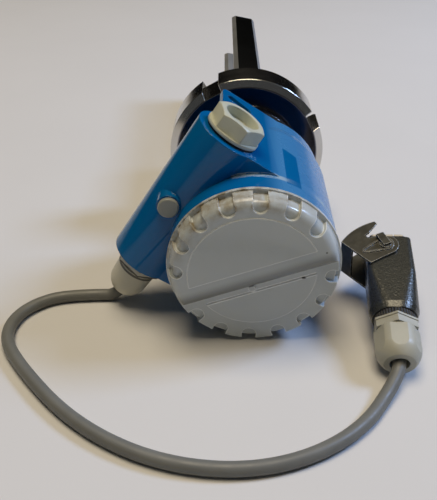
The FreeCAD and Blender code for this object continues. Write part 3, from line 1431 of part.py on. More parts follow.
def main():
    """Build every sub-part, put each in its place and write the files."""
    build_union_nut()
    build_process_collar()
    build_neck()
    build_fork()
    build_drive()
    build_housing()
    build_vent_cap()
    build_cover()
    build_plug()
    build_housing_gland()
    build_electronics()
    build_cores()
    build_hood_shell()
    build_hood_inside()
    build_pegs()
    build_lever()
    build_hood_gland()
    build_cable()
    DOC.recompute()
    check_document()
    frames = {"instrument": instrument_rest(), "hood": hood_rest(), "row": Placement()}
    for item, frame, place in NODES:
        item.Placement = frames[frame].multiply(place)
    DOC.recompute()
    check_document()
    os.makedirs("parts", exist_ok=True)
    for item, _, _ in NODES:
        item.Shape.exportStep(f"parts/{item.Label}.step")


main()
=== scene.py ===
"""Looks of a vibrating fork level switch that lies on a pale table with its cable and connector hood.

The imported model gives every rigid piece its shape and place. This script gives each of them its finish, lays
the cable, cuts the threads that show at open ends and sets up the table, the daylight and the camera.
Lengths are in metres, and in millimetres where a docstring says so.
"""
from __future__ import annotations

import json
import logging
import math
from abc import ABC, abstractmethod
from dataclasses import dataclass
from enum import Enum
from functools import reduce

import bmesh
import bpy
from mathutils import Matrix, Vector


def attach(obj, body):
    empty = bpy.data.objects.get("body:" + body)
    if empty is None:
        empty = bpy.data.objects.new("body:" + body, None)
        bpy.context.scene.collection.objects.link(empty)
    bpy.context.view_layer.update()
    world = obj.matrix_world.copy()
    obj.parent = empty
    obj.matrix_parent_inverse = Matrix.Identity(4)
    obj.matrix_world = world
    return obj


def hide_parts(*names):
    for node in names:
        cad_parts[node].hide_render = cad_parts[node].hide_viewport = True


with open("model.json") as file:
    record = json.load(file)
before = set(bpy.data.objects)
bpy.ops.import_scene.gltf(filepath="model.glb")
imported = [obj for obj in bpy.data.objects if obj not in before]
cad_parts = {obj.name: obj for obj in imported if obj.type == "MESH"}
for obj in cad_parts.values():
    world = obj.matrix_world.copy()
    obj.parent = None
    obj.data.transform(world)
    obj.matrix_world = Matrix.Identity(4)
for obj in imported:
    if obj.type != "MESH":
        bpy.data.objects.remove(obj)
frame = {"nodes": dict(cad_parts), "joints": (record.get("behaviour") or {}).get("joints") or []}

LOG = logging.getLogger("level_switch")
MM = 0.001
MERGE_DISTANCE = 1e-7
BEVEL_SAMPLES = 6

Colour = tuple[float, float, float]
Span = tuple[float, float]
Socket = bpy.types.NodeSocket


class Body(str, Enum):
    """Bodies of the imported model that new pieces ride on."""

    INSTRUMENT = "instrument"
    NUT = "nut"
    COVER = "cover"


class Slot(str, Enum):
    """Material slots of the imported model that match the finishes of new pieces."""

    SHEATH = "cable_sheath"
    STEEL = "polished_steel"
    COVER = "cover_paint"


class Cell(str, Enum):
    """How the cells of a cell texture meet."""

    SHARP = "F1"
    SMOOTH = "SMOOTH_F1"


@dataclass(frozen=True)
class Axes:
    """A right-handed frame on the object."""

    origin: Vector
    x: Vector
    y: Vector
    z: Vector

    @classmethod
    def from_two(cls, origin: list[float], y: Vector, z: Vector) -> Axes:
        """Make the frame from two of its directions.

        Args:
            origin: Its origin in metres.
            y: Its second direction.
            z: Its third direction.

        Returns:
            The frame with all three directions.
        """
        return cls(Vector(origin), y.cross(z).normalized(), y.normalized(), z.normalized())

    def matrix(self) -> Matrix:
        """Matrix that takes metres in this frame to metres in the shared frame."""
        turn = Matrix((self.x, self.y, self.z)).transposed()
        return Matrix.Translation(self.origin) @ turn.to_4x4()


@dataclass(frozen=True)
class Fade:
    """Where a smooth change starts and where it ends."""

    start: float
    end: float


@dataclass(frozen=True)
class Band:
    """A stretch with soft ends."""

    middle: float
    half_width: float
    softness: float


@dataclass(frozen=True)
class Patches:
    """Noise patches by their width in millimetres and the noise at which they start and are full."""

    size: float
    detail: float
    start: float
    full: float
    roughness: float = 0.5


@dataclass(frozen=True)
class Edging:
    """Edges by their radius in millimetres and the bend at which a mask starts and is full."""

    radius: float
    start: float
    full: float


@dataclass(frozen=True)
class Spot:
    """A small mark on the cover's face, in millimetres towards the plug and towards the entry tube."""

    x: float
    y: float
    half_width: float
    half_height: float


def joint(name: str) -> dict:
    """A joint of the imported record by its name."""
    return next(item for item in frame["joints"] if item["name"] == name)


# The instrument's axis runs along Z to the cover, X to the plug and Y to the entry tube
INSTRUMENT = Axes.from_two(
    joint("nut_turn")["pos_m"], Vector(joint("fail_safe_slide")["axis"]), Vector(joint("nut_turn")["axis"]))


class Value:
    """A number that varies over a surface, with arithmetic that adds Math nodes."""

    def __init__(self, nodes: Nodes, socket: Socket) -> None:
        """Wrap a socket of a node tree."""
        self.nodes = nodes
        self.socket = socket

    def __add__(self, other: Value | float) -> Value:
        """Sum with a value or a number."""
        return self.nodes.math("ADD", self, other)

    def __radd__(self, other: float) -> Value:
        """Sum with a number on the left."""
        return self.nodes.math("ADD", other, self)

    def __sub__(self, other: Value | float) -> Value:
        """Difference from a value or a number."""
        return self.nodes.math("SUBTRACT", self, other)

    def __rsub__(self, other: float) -> Value:
        """Difference of a number and this value."""
        return self.nodes.math("SUBTRACT", other, self)

    def __mul__(self, other: Value | float) -> Value:
        """Product with a value or a number."""
        return self.nodes.math("MULTIPLY", self, other)

    def __rmul__(self, other: float) -> Value:
        """Product with a number on the left."""
        return self.nodes.math("MULTIPLY", other, self)

    def __abs__(self) -> Value:
        """Size without its sign."""
        return self.nodes.math("ABSOLUTE", self, 0.0)

    def larger(self, other: Value | float) -> Value:
        """The larger of this and another value."""
        return self.nodes.math("MAXIMUM", self, other)

    def diagonal(self, other: Value) -> Value:
        """Length of the diagonal between this and another value as sides."""
        return self.nodes.math("SQRT", self * self + other * other, 0.0)

    def rise(self, low: float, high: float, bottom: float = 0.0, top: float = 1.0) -> Value:
        """Go smoothly from one number to another as this value goes from low to high.

        Args:
            low: Where the change starts.
            high: Where the change ends.
            bottom: The result at and before low.
            top: The result at and after high.

        Returns:
            The smooth step.
        """
        node = self.nodes.add("ShaderNodeMapRange", {"interpolation_type": "SMOOTHSTEP"}, {
            "Value": self, "From Min": low, "From Max": high, "To Min": bottom, "To Max": top})
        return Value(self.nodes, node.outputs[0])

    def between(self, span: Span) -> Value:
        """Go from one number to another as this mask goes from zero to one."""
        return self * (span[1] - span[0]) + span[0]

    def past(self, fade: Fade) -> Value:
        """One past a fade and zero before it."""
        return self.rise(fade.start, fade.end)

    def before(self, fade: Fade) -> Value:
        """One before a fade and zero past it."""
        return self.rise(fade.start, fade.end, bottom=1.0, top=0.0)

    def within(self, band: Band) -> Value:
        """One in a band and zero away from it."""
        return abs(self - band.middle).before(Fade(band.half_width, band.half_width + band.softness))


@dataclass(frozen=True)
class Place:
    """A surface point in a frame on the object, in millimetres."""

    x: Value
    y: Value
    z: Value

    def reach(self) -> Value:
        """Distance from the frame's Z axis."""
        return self.x.diagonal(self.y)

    def along(self, way: Vector) -> Value:
        """Distance along a direction in the frame's XY plane."""
        return self.x * way.x + self.y * way.y


class Nodes:
    """A node tree that is written as expressions."""

    def __init__(self, tree: bpy.types.NodeTree) -> None:
        """Empty the tree."""
        self.tree = tree
        self.tree.nodes.clear()

    def add(self, kind: str, settings: dict | None = None, inputs: dict | None = None) -> bpy.types.Node:
        """Add a node.

        Args:
            kind: Its type.
            settings: Its own properties, set first.
            inputs: Values or links of its sockets by name or number.

        Returns:
            The node.
        """
        node = self.tree.nodes.new(kind)
        for name, setting in (settings or {}).items():
            setattr(node, name, setting)
        for name, item in (inputs or {}).items():
            self.feed(node.inputs[name], item)
        return node

    def feed(self, socket: Socket, item: object) -> None:
        """Link a socket or give it a constant.

        Args:
            socket: The input to feed.
            item: A value, another socket, a number, a colour or a vector.
        """
        if isinstance(item, Value):
            item = item.socket
        if isinstance(item, Socket):
            self.tree.links.new(item, socket)
        elif socket.type == "RGBA":
            socket.default_value = (*item[:3], 1.0)
        else:
            socket.default_value = item

    def math(self, operation: str, first: Value | float, second: Value | float) -> Value:
        """Result of a Math node on two values or numbers."""
        node = self.add("ShaderNodeMath", {"operation": operation}, {0: first, 1: second})
        return Value(self, node.outputs[0])

    def vector(self, operation: str, first: object, second: object) -> bpy.types.Node:
        """A Vector Math node on two vectors."""
        return self.add("ShaderNodeVectorMath", {"operation": operation}, {0: first, 1: second})

    def mix(self, factor: Value | float, under: object, over: object) -> Socket:
        """Lay one colour over another.

        Args:
            factor: How much of the upper colour shows.
            under: The lower colour.
            over: The upper colour.

        Returns:
            The mixed colour's socket.
        """
        # A Mix node repeats its sockets' names for each kind of data, so its colours are taken by number
        node = self.add("ShaderNodeMix", {"data_type": "RGBA"}, {0: factor, 6: under, 7: over})
        return node.outputs[2]


class Shader(Nodes):
    """The nodes of one material and its surface shader."""

    def __init__(self, name: str) -> None:
        """Start a material that holds nothing but its surface shader.

        Args:
            name: The material's name.
        """
        self.material = bpy.data.materials.new(name)
        self.material.use_nodes = True
        super().__init__(self.material.node_tree)
        self.surface = self.add("ShaderNodeBsdfPrincipled")
        self.add("ShaderNodeOutputMaterial", None, {"Surface": self.surface.outputs[0]})
        self.coordinates = self.add("ShaderNodeTexCoord").outputs["Object"]

    def set(self, **inputs: object) -> None:
        """Feed inputs of the surface shader, with spaces in their names written as underscores."""
        for name, item in inputs.items():
            self.feed(self.surface.inputs[name.replace("_", " ")], item)

    def place(self, axes: Axes) -> Place:
        """Where a surface point lies in a frame on the object.

        Args:
            axes: The frame.

        Returns:
            The point's three coordinates.
        """
        away = self.vector("SUBTRACT", self.coordinates, axes.origin).outputs[0]
        nodes = [self.vector("DOT_PRODUCT", away, way / MM) for way in (axes.x, axes.y, axes.z)]
        return Place(*(Value(self, node.outputs["Value"]) for node in nodes))

    def point(self, x: Value | float, y: Value | float, z: Value | float) -> Socket:
        """A vector of three values."""
        return self.add("ShaderNodeCombineXYZ", None, {0: x, 1: y, 2: z}).outputs[0]

    def noise(self, size: float, detail: float = 3.0, vector: Socket | None = None, roughness: float = 0.5
              ) -> Value:
        """Smooth noise from zero to one.

        Args:
            size: Width of its patches in millimetres.
            detail: Octaves of finer noise.
            vector: Place to read it at, or the object's own place.
            roughness: Weight of the finer octaves.

        Returns:
            The noise.
        """
        node = self.add("ShaderNodeTexNoise", None, {
            "Vector": vector or self.coordinates, "Scale": 1.0 / (size * MM), "Detail": detail,
            "Roughness": roughness})
        return Value(self, node.outputs["Fac"])

    def patches(self, look: Patches, vector: Socket | None = None) -> Value:
        """One inside noise patches and zero between them."""
        noise = self.noise(look.size, look.detail, vector, look.roughness)
        return noise.rise(look.start, look.full)

    def cells(self, size: float, kind: Cell) -> Value:
        """Distance from the middle of scattered cells, in cell widths.

        Args:
            size: Width of a cell in millimetres.
            kind: How the cells meet.

        Returns:
            The distance.
        """
        node = self.add("ShaderNodeTexVoronoi", {"feature": kind.value}, {
            "Vector": self.coordinates, "Scale": 1.0 / (size * MM)})
        return Value(self, node.outputs["Distance"])

    def facing(self, way: Vector | Socket) -> Value:
        """Cosine between the surface's normal and a direction."""
        normal = self.add("ShaderNodeNewGeometry").outputs["Normal"]
        return Value(self, self.vector("DOT_PRODUCT", normal, way).outputs["Value"])

    def softened(self, radius: float) -> Socket:
        """Normal of the surface with its edges rounded by a radius in millimetres."""
        return self.add("ShaderNodeBevel", {"samples": BEVEL_SAMPLES}, {"Radius": radius * MM}).outputs[0]

    def bend(self, radius: float) -> Value:
        """How much the surface bends at edges within a radius in millimetres."""
        return 1.0 - self.facing(self.softened(radius))

    def edges(self, look: Edging) -> Value:
        """One along edges and zero away from them."""
        return self.bend(look.radius).rise(look.start, look.full)

    def bump(self, height: Value, depth: float, edge_radius: float) -> None:
        """Raise the surface and round its edges.

        Args:
            height: Relief from zero to one.
            depth: Height of the relief in millimetres.
            edge_radius: Radius of the edges in millimetres.
        """
        node = self.add("ShaderNodeBump", None, {
            "Height": height, "Distance": depth * MM, "Strength": 1.0, "Normal": self.softened(edge_radius)})
        self.set(Normal=node.outputs[0])


@dataclass(frozen=True)
class Finish(ABC):
    """A surface finish with its own colour, and its sizes and places in millimetres."""

    name: str
    colour: Colour

    def material(self) -> bpy.types.Material:
        """Make the material of this finish.

        Returns:
            The material.
        """
        shader = Shader(self.name)
        self.dress(shader)
        return shader.material

    def toned(self, shader: Shader, tones: Patches, share: float) -> Socket:
        """Vary the finish's colour in soft patches.

        Args:
            shader: The material's nodes.
            tones: The patches.
            share: Brightness of the colour in them.

        Returns:
            The colour.
        """
        darker = tuple(part * share for part in self.colour)
        return shader.mix(shader.patches(tones), self.colour, darker)

    @abstractmethod
    def dress(self, shader: Shader) -> None:
        """Feed the surface shader.

        Args:
            shader: The material's nodes.
        """


@dataclass(frozen=True)
class HousingPaint(Finish):
    """Glossy enamel on the cast housing, with a painted sheen on one side and chipped in the crease under the
    plug.
    """

    primer: Colour = (0.34, 0.45, 0.52)
    shade: Colour = (0.001, 0.085, 0.28)
    rubbed: Colour = (0.2, 0.4, 0.6)
    # Colour of the painted sheen, a reflection of the bright room laid into the enamel
    sheen_colour: Colour = (0.08, 0.27, 0.54)
    edge_radius: float = 0.9
    crease_reach: Band = Band(39.8, 0.5, 0.4)
    crease_level: Band = Band(106.2, 1.4, 0.8)
    crease_side: Band = Band(32.8, 5.0, 2.0)
    scuff_level: Band = Band(101.6, 1.2, 1.2)
    scuff_side: Band = Band(27.6, 2.6, 1.4)
    scuff_start: Fade = Fade(36.0, 37.2)
    patch_side: Band = Band(4.9, 3.4, 0.4)
    patch_slope: float = 0.54
    patch_foot: Fade = Fade(78.6, 79.4)
    patch_top: Fade = Fade(108.0, 110.0)
    sheen_reach: Band = Band(39.4, 1.4, 0.6)
    sheen_side: Fade = Fade(9.0, 19.0)
    sheen_start: Fade = Fade(0.0, 20.0)
    tones: Patches = Patches(38.0, 2.0, 0.35, 0.7)
    streaks: Patches = Patches(1.1, 5.0, 0.44, 0.52, roughness=0.7)
    scratches: Patches = Patches(1.4, 4.0, 0.66, 0.72, roughness=0.65)
    scratched: Patches = Patches(14.0, 2.0, 0.55, 0.7)
    flakes: Patches = Patches(1.5, 5.0, 0.45, 0.55, roughness=0.7)
    smears: Patches = Patches(9.0, 4.0, 0.3, 0.75)
    smear_roughness: Span = (0.05, 0.1)

    def chips(self, shader: Shader, at: Place, reach: Value) -> Value:
        """Chips along the crease under the plug.

        Args:
            shader: The material's nodes.
            at: The surface point.
            reach: Its distance from the instrument's axis.

        Returns:
            The mask.
        """
        place = shader.point(reach * (MM * 2.0), at.z * (MM * 2.0), at.x * (MM * 0.5))
        crease = reach.within(self.crease_reach) * at.z.within(self.crease_level)
        return crease * at.x.within(self.crease_side) * shader.patches(self.streaks, place) * 0.9

    def scuffs(self, shader: Shader, at: Place) -> Value:
        """Patches of fine scratches, and rubbed paint below the plug.

        Args:
            shader: The material's nodes.
            at: The surface point.

        Returns:
            The mask.
        """
        place = shader.point(at.x * (MM * 2.1), at.y * (MM * 0.35), at.z * (MM * 2.1))
        rubs = shader.patches(self.scratches, place) * shader.patches(self.scratched) * 0.35
        below_plug = at.z.within(self.scuff_level) * at.y.within(self.scuff_side)
        return rubs + below_plug * at.x.past(self.scuff_start) * shader.patches(self.flakes) * 0.8

    def painted_sheen(self, at: Place, reach: Value) -> Value:
        """Painted sheen on the pot's side next to the plug, round one patch left dark where the reflection has
        a gap.

        Args:
            at: The surface point.
            reach: Its distance from the instrument's axis.

        Returns:
            The mask.
        """
        level = at.z + at.y * self.patch_slope
        # A patch kept free of painted sheen, for a dark gap in the reflection
        reflection_gap = at.y.within(self.patch_side) * level.past(self.patch_foot) * at.z.before(self.patch_top)
        side = reach.within(self.sheen_reach) * at.y.before(self.sheen_side) * at.x.past(self.sheen_start)
        return side * (1.0 - reflection_gap)

    def dress(self, shader: Shader) -> None:
        """Lay enamel with broad tone changes, a painted sheen, scuffs and chips on a soft cast surface.

        Args:
            shader: The material's nodes.
        """
        at = shader.place(INSTRUMENT)
        reach = at.reach()
        chips = self.chips(shader, at, reach)
        scuffs = self.scuffs(shader, at)
        painted_sheen = self.painted_sheen(at, reach)
        enamel = shader.mix(shader.patches(self.tones) * 0.3, self.colour, self.shade)
        # Painted sheen lightens the enamel, and scuffs lie over it
        wear_and_highlight = shader.mix(scuffs, shader.mix(painted_sheen * 0.6, enamel, self.sheen_colour), self.rubbed)
        shader.set(Base_Color=shader.mix(chips, wear_and_highlight, self.primer), IOR=1.5)
        smear = shader.patches(self.smears).between(self.smear_roughness)
        # The painted sheen's mask also makes the gloss hazier
        shader.set(Roughness=smear + chips * 0.4 + scuffs * 0.15 + painted_sheen * 0.2)
        shader.set(Coat_Weight=0.1, Coat_Roughness=0.04, Specular_IOR_Level=0.3)
        peel = shader.noise(1.6, detail=2.0) * 0.4 + shader.noise(7.0, detail=1.0)
        shader.bump(peel, 0.025, self.edge_radius)


@dataclass(frozen=True)
class CoverPaint(Finish):
    """Light grey enamel on the cover, with painted highlights along its edges, a painted shade on the step and
    dirt in the flutes of one side.
    """

    dirt: Colour = (0.2, 0.145, 0.06)
    grime: Colour = (0.03, 0.026, 0.022)
    # Colour of the painted highlights along edges
    pale: Colour = (0.93, 0.95, 0.93)
    # Colour of the painted shade on the step, which stands in for the shadow under its edge
    step_shade_colour: Colour = (0.13, 0.137, 0.13)
    edge_radius: float = 0.3
    rim: Fade = Fade(31.0, 35.5)
    dirty_way: Vector = Vector((0.5, 0.87))
    dirty_side: Fade = Fade(8.0, 36.0)
    step_way: Vector = Vector((0.602, 0.799))
    step_foot: Fade = Fade(-6.5, -6.2)
    step_top: Fade = Fade(-4.0, 1.8)
    step_reach: Fade = Fade(36.0, 38.0)
    panel_edge: Band = Band(-9.4, 0.6, 0.25)
    panel_length: Band = Band(0.0, 25.6, 0.8)
    spot_way: Vector = Vector((0.545, -0.839))
    spots: tuple[Spot, ...] = (Spot(10.3, -19.9, 1.15, 0.5), Spot(27.5, -19.1, 0.5, 0.4))
    spot_edge: Fade = Fade(1.0, 1.3)
    speck_cell: float = 3.1
    speck_edge: Fade = Fade(0.05, 0.11)
    speckled: Patches = Patches(11.0, 2.0, 0.5, 0.58)
    dirty_edges: Edging = Edging(1.6, 0.01, 0.1)
    lit_edges: Edging = Edging(0.8, 0.008, 0.07)
    tones: Patches = Patches(30.0, 3.0, 0.3, 0.7)
    smears: Patches = Patches(12.0, 5.0, 0.3, 0.75)
    smear_roughness: Span = (0.16, 0.26)

    def spot(self, shader: Shader, at: Place, spot: Spot) -> Value:
        """A small dark spot with a ragged edge.

        Args:
            shader: The material's nodes.
            at: The surface point.
            spot: Where the spot lies and how large it is.

        Returns:
            The mask.
        """
        middle = Vector((spot.x, spot.y))
        cross_way = self.spot_way.orthogonal()
        along = at.along(self.spot_way) - middle.dot(self.spot_way)
        over = at.along(cross_way) - middle.dot(cross_way)
        away = (along * (1.0 / spot.half_width)).diagonal(over * (1.0 / spot.half_height))
        return (away + shader.noise(0.8) * 0.5).before(self.spot_edge)

    def specks(self, shader: Shader, at: Place, dirty: Value) -> Value:
        """Dark specks, thick in the dirty flutes and few elsewhere, and the larger spots.

        Args:
            shader: The material's nodes.
            at: The surface point.
            dirty: Mask of the dirty flutes.

        Returns:
            The mask.
        """
        speck = shader.cells(self.speck_cell, Cell.SHARP).before(self.speck_edge)
        gathered = speck * shader.patches(self.speckled) * (dirty * 0.95 + 0.08)
        return reduce(Value.larger, [self.spot(shader, at, spot) for spot in self.spots], gathered)

    def painted_highlights(self, shader: Shader, at: Place, step_shade_mask: Value) -> Value:
        """Painted highlights along edges, and along the straight edge of the lower panel, which lies in the
        step's shadow.

        Args:
            shader: The material's nodes.
            at: The surface point.
            step_shade_mask: Mask of the painted shade on the step, which gets no painted highlight.

        Returns:
            The mask.
        """
        # Painted highlights along edges, kept off the painted shade of the step
        edges = shader.edges(self.lit_edges) * (1.0 - step_shade_mask) * 0.85
        length = at.along(self.step_way.orthogonal()).within(self.panel_length)
        return edges.larger(at.along(self.step_way).within(self.panel_edge) * length * 0.75)

    def dress(self, shader: Shader) -> None:
        """Lay enamel with painted highlights along its edges, dirt by the rim, a painted shade on the step,
        and dark specks.

        Args:
            shader: The material's nodes.
        """
        at = shader.place(INSTRUMENT)
        reach = at.reach()
        dirty = reach.past(self.rim) * at.along(self.dirty_way).past(self.dirty_side)
        patch = shader.noise(4.2, detail=5.0, roughness=0.62)
        edge = shader.edges(self.dirty_edges)
        film = dirty * (patch.rise(0.32, 0.7) * 0.62 + edge * patch.rise(0.4, 0.55) * 0.45)
        level = at.along(self.step_way)
        # Painted shade on the step, from its foot up its slope
        step_shade_mask = level.past(self.step_foot) * level.before(self.step_top) * reach.before(self.step_reach)
        specks = self.specks(shader, at, dirty)
        plain = self.toned(shader, self.tones, 0.95)
        # Painted highlights laid over the enamel
        enamel = shader.mix(self.painted_highlights(shader, at, step_shade_mask), plain, self.pale)
        # Dirt by the rim, over the painted shade on the step
        stained_and_shaded = shader.mix(film, shader.mix(step_shade_mask * 0.85, enamel, self.step_shade_colour), self.dirt)
        shader.set(Base_Color=shader.mix(specks, stained_and_shaded, self.grime), IOR=1.5)
        smear = shader.patches(self.smears).between(self.smear_roughness)
        shader.set(Roughness=smear + film * 0.35 + specks * 0.3, Coat_Weight=0.25, Coat_Roughness=0.06)
        peel = shader.noise(1.8, detail=2.0) * 0.4 + shader.noise(8.0, detail=1.0) + film * patch * 0.8
        shader.bump(peel, 0.025, self.edge_radius)


@dataclass(frozen=True)
class TurnedSteel(Finish):
    """Steel turned on a lathe, with fine rings, a front face painted dark as a reflection of the shaded
    housing, and painted highlights along its edges.
    """

    dull: Colour = (0.42, 0.38, 0.31)
    # Colour of the painted dark reflection on the front face, which mirrors the shaded housing
    face: Colour = (0.09, 0.09, 0.12)
    # Colour of the painted highlights along the edges
    bright: Colour = (0.95, 0.94, 0.9)
    roughness: float = 0.1
    edge_radius: float = 0.8
    face_level: Fade = Fade(1.6, 2.2)
    face_reach: Fade = Fade(41.5, 42.5)
    bright_edges: Edging = Edging(0.7, 0.02, 0.2)
    dull_patches: Patches = Patches(20.0, 3.0, 0.45, 0.75)
    smears: Patches = Patches(7.0, 4.0, 0.3, 0.8)

    def dress(self, shader: Shader) -> None:
        """Lay turning rings round the instrument's axis, with a painted dark reflection on the front face and
        painted highlights along the edges.

        Args:
            shader: The material's nodes.
        """
        at = shader.place(INSTRUMENT)
        reach = at.reach()
        rings = shader.noise(0.32, vector=shader.point(reach * MM, at.z * MM, 0.0))
        broad = shader.noise(1.9, detail=2.0, vector=shader.point(reach * MM, at.z * MM, 0.1))
        hazy = shader.patches(self.dull_patches) * 0.3
        # Painted dark reflection on the front face
        face = at.z.past(self.face_level) * reach.before(self.face_reach)
        steel = shader.mix(face, shader.mix(hazy, self.colour, self.dull), self.face)
        # Painted highlights along the edges
        edge = shader.edges(self.bright_edges)
        shader.set(Base_Color=shader.mix(edge, steel, self.bright), Metallic=1.0)
        smear = shader.patches(self.smears) * 0.06
        shader.set(Roughness=smear + rings * 0.08 + self.roughness)
        shader.bump(rings + broad, 0.006, self.edge_radius)


@dataclass(frozen=True)
class ForkSteel(Finish):
    """Polished steel of the fork, duller on its chamfers, its lower tine and its base."""

    stain: Colour = (0.26, 0.25, 0.22)
    flat_way: Vector = Vector((0.92, 0.39))
    flat_cosine: Fade = Fade(0.8, 0.97)
    between_tines: Fade = Fade(-1.0, 1.0)
    base_level: Fade = Fade(-86.0, -85.9)
    roughness: float = 0.05
    chamfer_roughness: float = 0.4
    low_tine_roughness: float = 0.45
    base_roughness: float = 0.2
    edge_radius: float = 0.3
    stains: Patches = Patches(22.0, 4.0, 0.45, 0.75)
    smears: Patches = Patches(10.0, 4.0, 0.3, 0.8)

    def dress(self, shader: Shader) -> None:
        """Lay polishing lines along the tines.

        Args:
            shader: The material's nodes.
        """
        at = shader.place(INSTRUMENT)
        lines = shader.noise(0.5, vector=shader.point(at.x * MM, at.y * MM, at.z * (MM * 0.02)))
        blotch = shader.patches(self.stains) * 0.3
        shader.set(Base_Color=shader.mix(blotch, self.colour, self.stain), Metallic=1.0)
        way = INSTRUMENT.x * self.flat_way.x + INSTRUMENT.y * self.flat_way.y
        chamfer = abs(shader.facing(way)).before(self.flat_cosine) * self.chamfer_roughness
        low_tine = at.along(self.flat_way).before(self.between_tines) * self.low_tine_roughness
        base = at.z.past(self.base_level)
        dull = chamfer.larger(low_tine) * (1.0 - base) + base * self.base_roughness
        smear = shader.patches(self.smears) * 0.03
        shader.set(Roughness=smear + lines * 0.03 + dull + self.roughness)
        shader.bump(lines, 0.003, self.edge_radius)


@dataclass(frozen=True)
class Moulded(Finish):
    """Moulded plastic or rubber with a fine matt skin and a little dirt."""

    dirt: Colour = (0.3, 0.26, 0.18)
    dirt_share: float = 0.3
    roughness: float = 0.42
    grain: float = 0.5
    grain_depth: float = 0.012
    edge_radius: float = 0.4
    dirty_edges: Edging = Edging(1.0, 0.02, 0.2)
    tones: Patches = Patches(15.0, 2.0, 0.3, 0.7)
    smears: Patches = Patches(4.0, 3.0, 0.3, 0.7)
    unevenness: Span = (-0.06, 0.08)

    def skin(self, shader: Shader, film: Value) -> Socket:
        """Colour of the skin with its dirt."""
        return shader.mix(film, self.toned(shader, self.tones, 0.9), self.dirt)

    def dress(self, shader: Shader) -> None:
        """Lay a grained skin with dirt along its edges and in patches.

        Args:
            shader: The material's nodes.
        """
        patch = shader.noise(6.0, detail=5.0, roughness=0.6)
        edge = shader.edges(self.dirty_edges)
        film = (patch.rise(0.5, 0.8) * 0.5 + edge * patch.rise(0.4, 0.6)) * self.dirt_share
        shader.set(Base_Color=self.skin(shader, film), IOR=1.47)
        smear = shader.patches(self.smears).between(self.unevenness)
        shader.set(Roughness=smear + film * 0.3 + self.roughness)
        shader.bump(shader.noise(self.grain), self.grain_depth, self.edge_radius)


@dataclass(frozen=True)
class Grooved(Moulded):
    """Moulded plastic of the cable entry, with dark lines where its pieces meet."""

    lines: tuple[Band, ...] = (Band(-42.4, 0.25, 0.25), Band(-45.2, 0.3, 0.25), Band(-47.5, 0.55, 0.25))
    joint_dirt: Colour = (0.03, 0.03, 0.028)

    def skin(self, shader: Shader, film: Value) -> Socket:
        """Colour of the skin with its dirt and the lines round the entry's axis.

        Args:
            shader: The material's nodes.
            film: How much dirt lies on the skin.

        Returns:
            The colour.
        """
        side = shader.place(INSTRUMENT).x
        drawn = reduce(Value.larger, [side.within(line) for line in self.lines])
        return shader.mix(drawn * 0.9, super().skin(shader, film), self.joint_dirt)


@dataclass(frozen=True)
class HammeredPaint(Finish):
    """Hammered metallic paint on the connector hood."""

    fleck: Colour = (0.15, 0.15, 0.135)
    # Colour of rubbed edges, made light enough to serve as painted glints too
    wear_and_highlight: Colour = (0.55, 0.56, 0.54)
    edge_radius: float = 0.9
    dimple_size: float = 0.9
    rubs: Patches = Patches(2.2, 4.0, 0.55, 0.65)

    def dress(self, shader: Shader) -> None:
        """Lay dimples in a dark metallic paint, rubbed pale at a few edges, where the pale also stands in as
        painted glints.

        Args:
            shader: The material's nodes.
        """
        dimple = shader.cells(self.dimple_size, Cell.SMOOTH)
        fine = shader.noise(0.5)
        fleck = dimple.rise(0.4, 0.65) * fine.rise(0.42, 0.62)
        rubbed = shader.bend(0.5) * shader.patches(self.rubs)
        # Rubbed edges, partly wear and partly painted glints
        wear_and_highlight = rubbed.rise(0.05, 0.14) * 0.6
        paint = shader.mix(fleck * 0.3, self.colour, self.fleck)
        shader.set(Base_Color=shader.mix(wear_and_highlight, paint, self.wear_and_highlight))
        shader.set(Metallic=fleck * 0.2 + wear_and_highlight * 0.3 + 0.25)
        shader.set(Roughness=fine.rise(0.3, 0.7, bottom=0.26, top=0.36))
        shader.set(Coat_Weight=0.25, Coat_Roughness=0.12)
        shader.bump(dimple + fine * 0.2, 0.11, self.edge_radius)


@dataclass(frozen=True)
class LeverSteel(Finish):
    """Dark lacquered sheet steel, rubbed through along its edges, with the pale bands widened as a painted
    highlight on the bead.
    """

    # Colour of metal at rubbed edges, also a painted highlight on the lit bead
    bare_and_lit: Colour = (0.62, 0.61, 0.56)
    edge_radius: float = 0.3
    worn_edges: Edging = Edging(0.8, 0.015, 0.14)
    rubs: Patches = Patches(1.8, 4.0, 0.25, 0.5)
    tones: Patches = Patches(5.0, 4.0, 0.3, 0.7)
    smears: Patches = Patches(2.5, 4.0, 0.3, 0.7)
    smear_roughness: Span = (0.28, 0.42)

    def dress(self, shader: Shader) -> None:
        """Lay lacquer that is rubbed off at its edges, where the pale metal also stands in as a painted
        highlight on the bead.

        Args:
            shader: The material's nodes.
        """
        # Rubbed edges, widened to also paint the lit top of the bead
        wear_and_highlight = shader.edges(self.worn_edges) * shader.patches(self.rubs)
        lacquer = self.toned(shader, self.tones, 0.65)
        shader.set(Base_Color=shader.mix(wear_and_highlight * 0.55, lacquer, self.bare_and_lit), Metallic=wear_and_highlight * 0.2 + 0.3)
        shader.set(Roughness=shader.patches(self.smears).between(self.smear_roughness))
        shader.bump(shader.noise(0.7), 0.015, self.edge_radius)


@dataclass(frozen=True)
class PlainMetal(Finish):
    """Plain metal of screws, nuts, contacts, collar and neck; the neck's near-black colour is painted shade.
    """

    roughness: float = 0.3
    edge_radius: float = 0.25
    stains: Patches = Patches(1.5, 4.0, 0.45, 0.75)
    smears: Patches = Patches(0.8, 3.0, 0.3, 0.7)
    unevenness: Span = (-0.05, 0.12)

    def dress(self, shader: Shader) -> None:
        """Lay metal with small stains.

        Args:
            shader: The material's nodes.
        """
        shader.set(Base_Color=self.toned(shader, self.stains, 0.75), Metallic=1.0)
        smear = shader.patches(self.smears).between(self.unevenness)
        shader.set(Roughness=smear + self.roughness)
        shader.bump(shader.noise(0.3, detail=2.0), 0.006, self.edge_radius)


